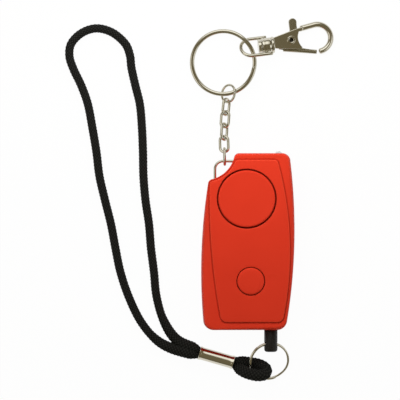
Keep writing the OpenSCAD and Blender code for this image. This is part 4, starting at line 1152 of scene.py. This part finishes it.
bow_middle, bow_r = (10.7, 0.6), 5.4
bar_r, bar_lift, shank_length, gate_r = 1.18, 0.18, 5, 0.86
bow_path = bow(bow_middle, bow_r, 100, -84, 60)
shank_way = (bow_path[0] - bow_path[1]).normalized()
shank = line(bow_path[0] + shank_way * shank_length, bow_path[0], 5)[:-1]
full_bow = wire(shank + bow_path, bar_r)
full_bow.location.z = bar_lift * MM
full_tab = rounded_slab(3.0, 6.7, -0.8, 0.8, 1.45, Vector((1.5, 6.25)))
full_gate = wire(line((-3.4, -2.35, 0), (9.7, -4.85, 0), 12), gate_r, blunt=0.2)
hook = cast_copy("clasp_hook", 0.11, 14, full_bow)
dress(hook, "hook_casting", "hook", "nickel", nickel, "clasp_hook", angle=80, place=clasp_place)
trigger = cast_copy("clasp_trigger", 0.09, 9, full_tab, full_gate)
dress(trigger, "trigger_casting", "trigger", "nickel", old_nickel, "clasp_trigger", angle=80,
      place=clasp_place)
rivet_r, rivet_bore = 1.2, 0.8
rivet = turned([(0, -2.2), (1.5, -2.2), (1.66, -2.14), (1.7, -2.06), (1.62, -2.0), (rivet_r, -2.0),
                (rivet_r, 2.0), (1.62, 2.0), (1.7, 2.06), (1.66, 2.14), (1.5, 2.2), (1.0, 2.2), (0.85, 2.1),
                (rivet_bore, 1.9), (rivet_bore, -1.2), (0, -1.4)], sides=48)
# The rivet's bore gets painted shade.
paint_shade(rivet, lambda v: v.to_2d().length < rivet_bore + 0.01 and v.z > -1.5)
dress(rivet, "trigger_pivot", "hook", "nickel", nickel, "trigger_rivet", angle=50, place=rivet_place)

# %% [markdown]
# The swivel eye is a turned barrel with two grooves that spins on the hook's post, and a bent wire
# that holds the key ring. The wire's ends lie along the barrel and are bridged to it.

# %% Swivel eye
barrel = turned([(1.56, 0), (2.95, 0), (3.1, 0.15), (3.1, 0.9), (2.96, 1.02), (2.96, 1.2), (3.1, 1.32),
                 (3.1, 2.3), (2.96, 2.42), (2.96, 2.6), (3.1, 2.72), (3.1, 3.55), (2.95, 3.7), (1.56, 3.7),
                 (1.56, 0)], sides=72)
barrel.matrix_world = shift(-11.82, 0, 0) @ turn(90, "Y")
eye_bend, eye_r = -16.07, 4.2
eye_path = (line((-9.72, eye_r, 0), (eye_bend, eye_r, 0), 8)[:-1] + bow((eye_bend, 0), eye_r, 90, 270, 40)
            + line((eye_bend, -eye_r, 0), (-8.32, -eye_r, 0), 8)[1:])
eye_wire = wire(eye_path, 0.7)
bridge = wire(line((-10.3, 2.7, 0), (-10.3, 4.1, 0), 4), 0.62)
bridges = copied(bridge, [turn(0, "X"), turn(180, "X")])
eye = joined(barrel, eye_wire, *bridges)
dress(eye, "swivel_eye_wire", "eye", "nickel", nickel, "swivel_eye", angle=45,
      place=clasp_place @ turn(-36, "X"))

# %% [markdown]
# What sits inside the case keeps its CAD shape, because it can't be seen until the case is opened.
# So do the screws and the trigger's spring, which are small and plain as they are.
# All of them get the finish of their real material.

# %% Finishes of the CAD pieces that stay
plain_finishes = [
    (screw_steel, "case_screws", "door_screw", "battery_spring", "battery_plate", "trigger_spring"),
    (black_plastic, "switch_plunger", "button_switch", "control_chip", "pin_socket"),
    (brass, "piezo_disc", "socket_leaves"), (foam, "piezo_seal"), (board_green, "circuit_board"),
    (coil_wire, "boost_coil"), (cell_jacket, "battery_cell"),
]
for material, *nodes in plain_finishes:
    for node in nodes:
        piece = frame["nodes"][node]
        if not piece.material_slots:
            piece.data.materials.append(material)
        for slot in piece.material_slots:
            slot.material = material
    print(material.name, "on", len(nodes), "CAD pieces")
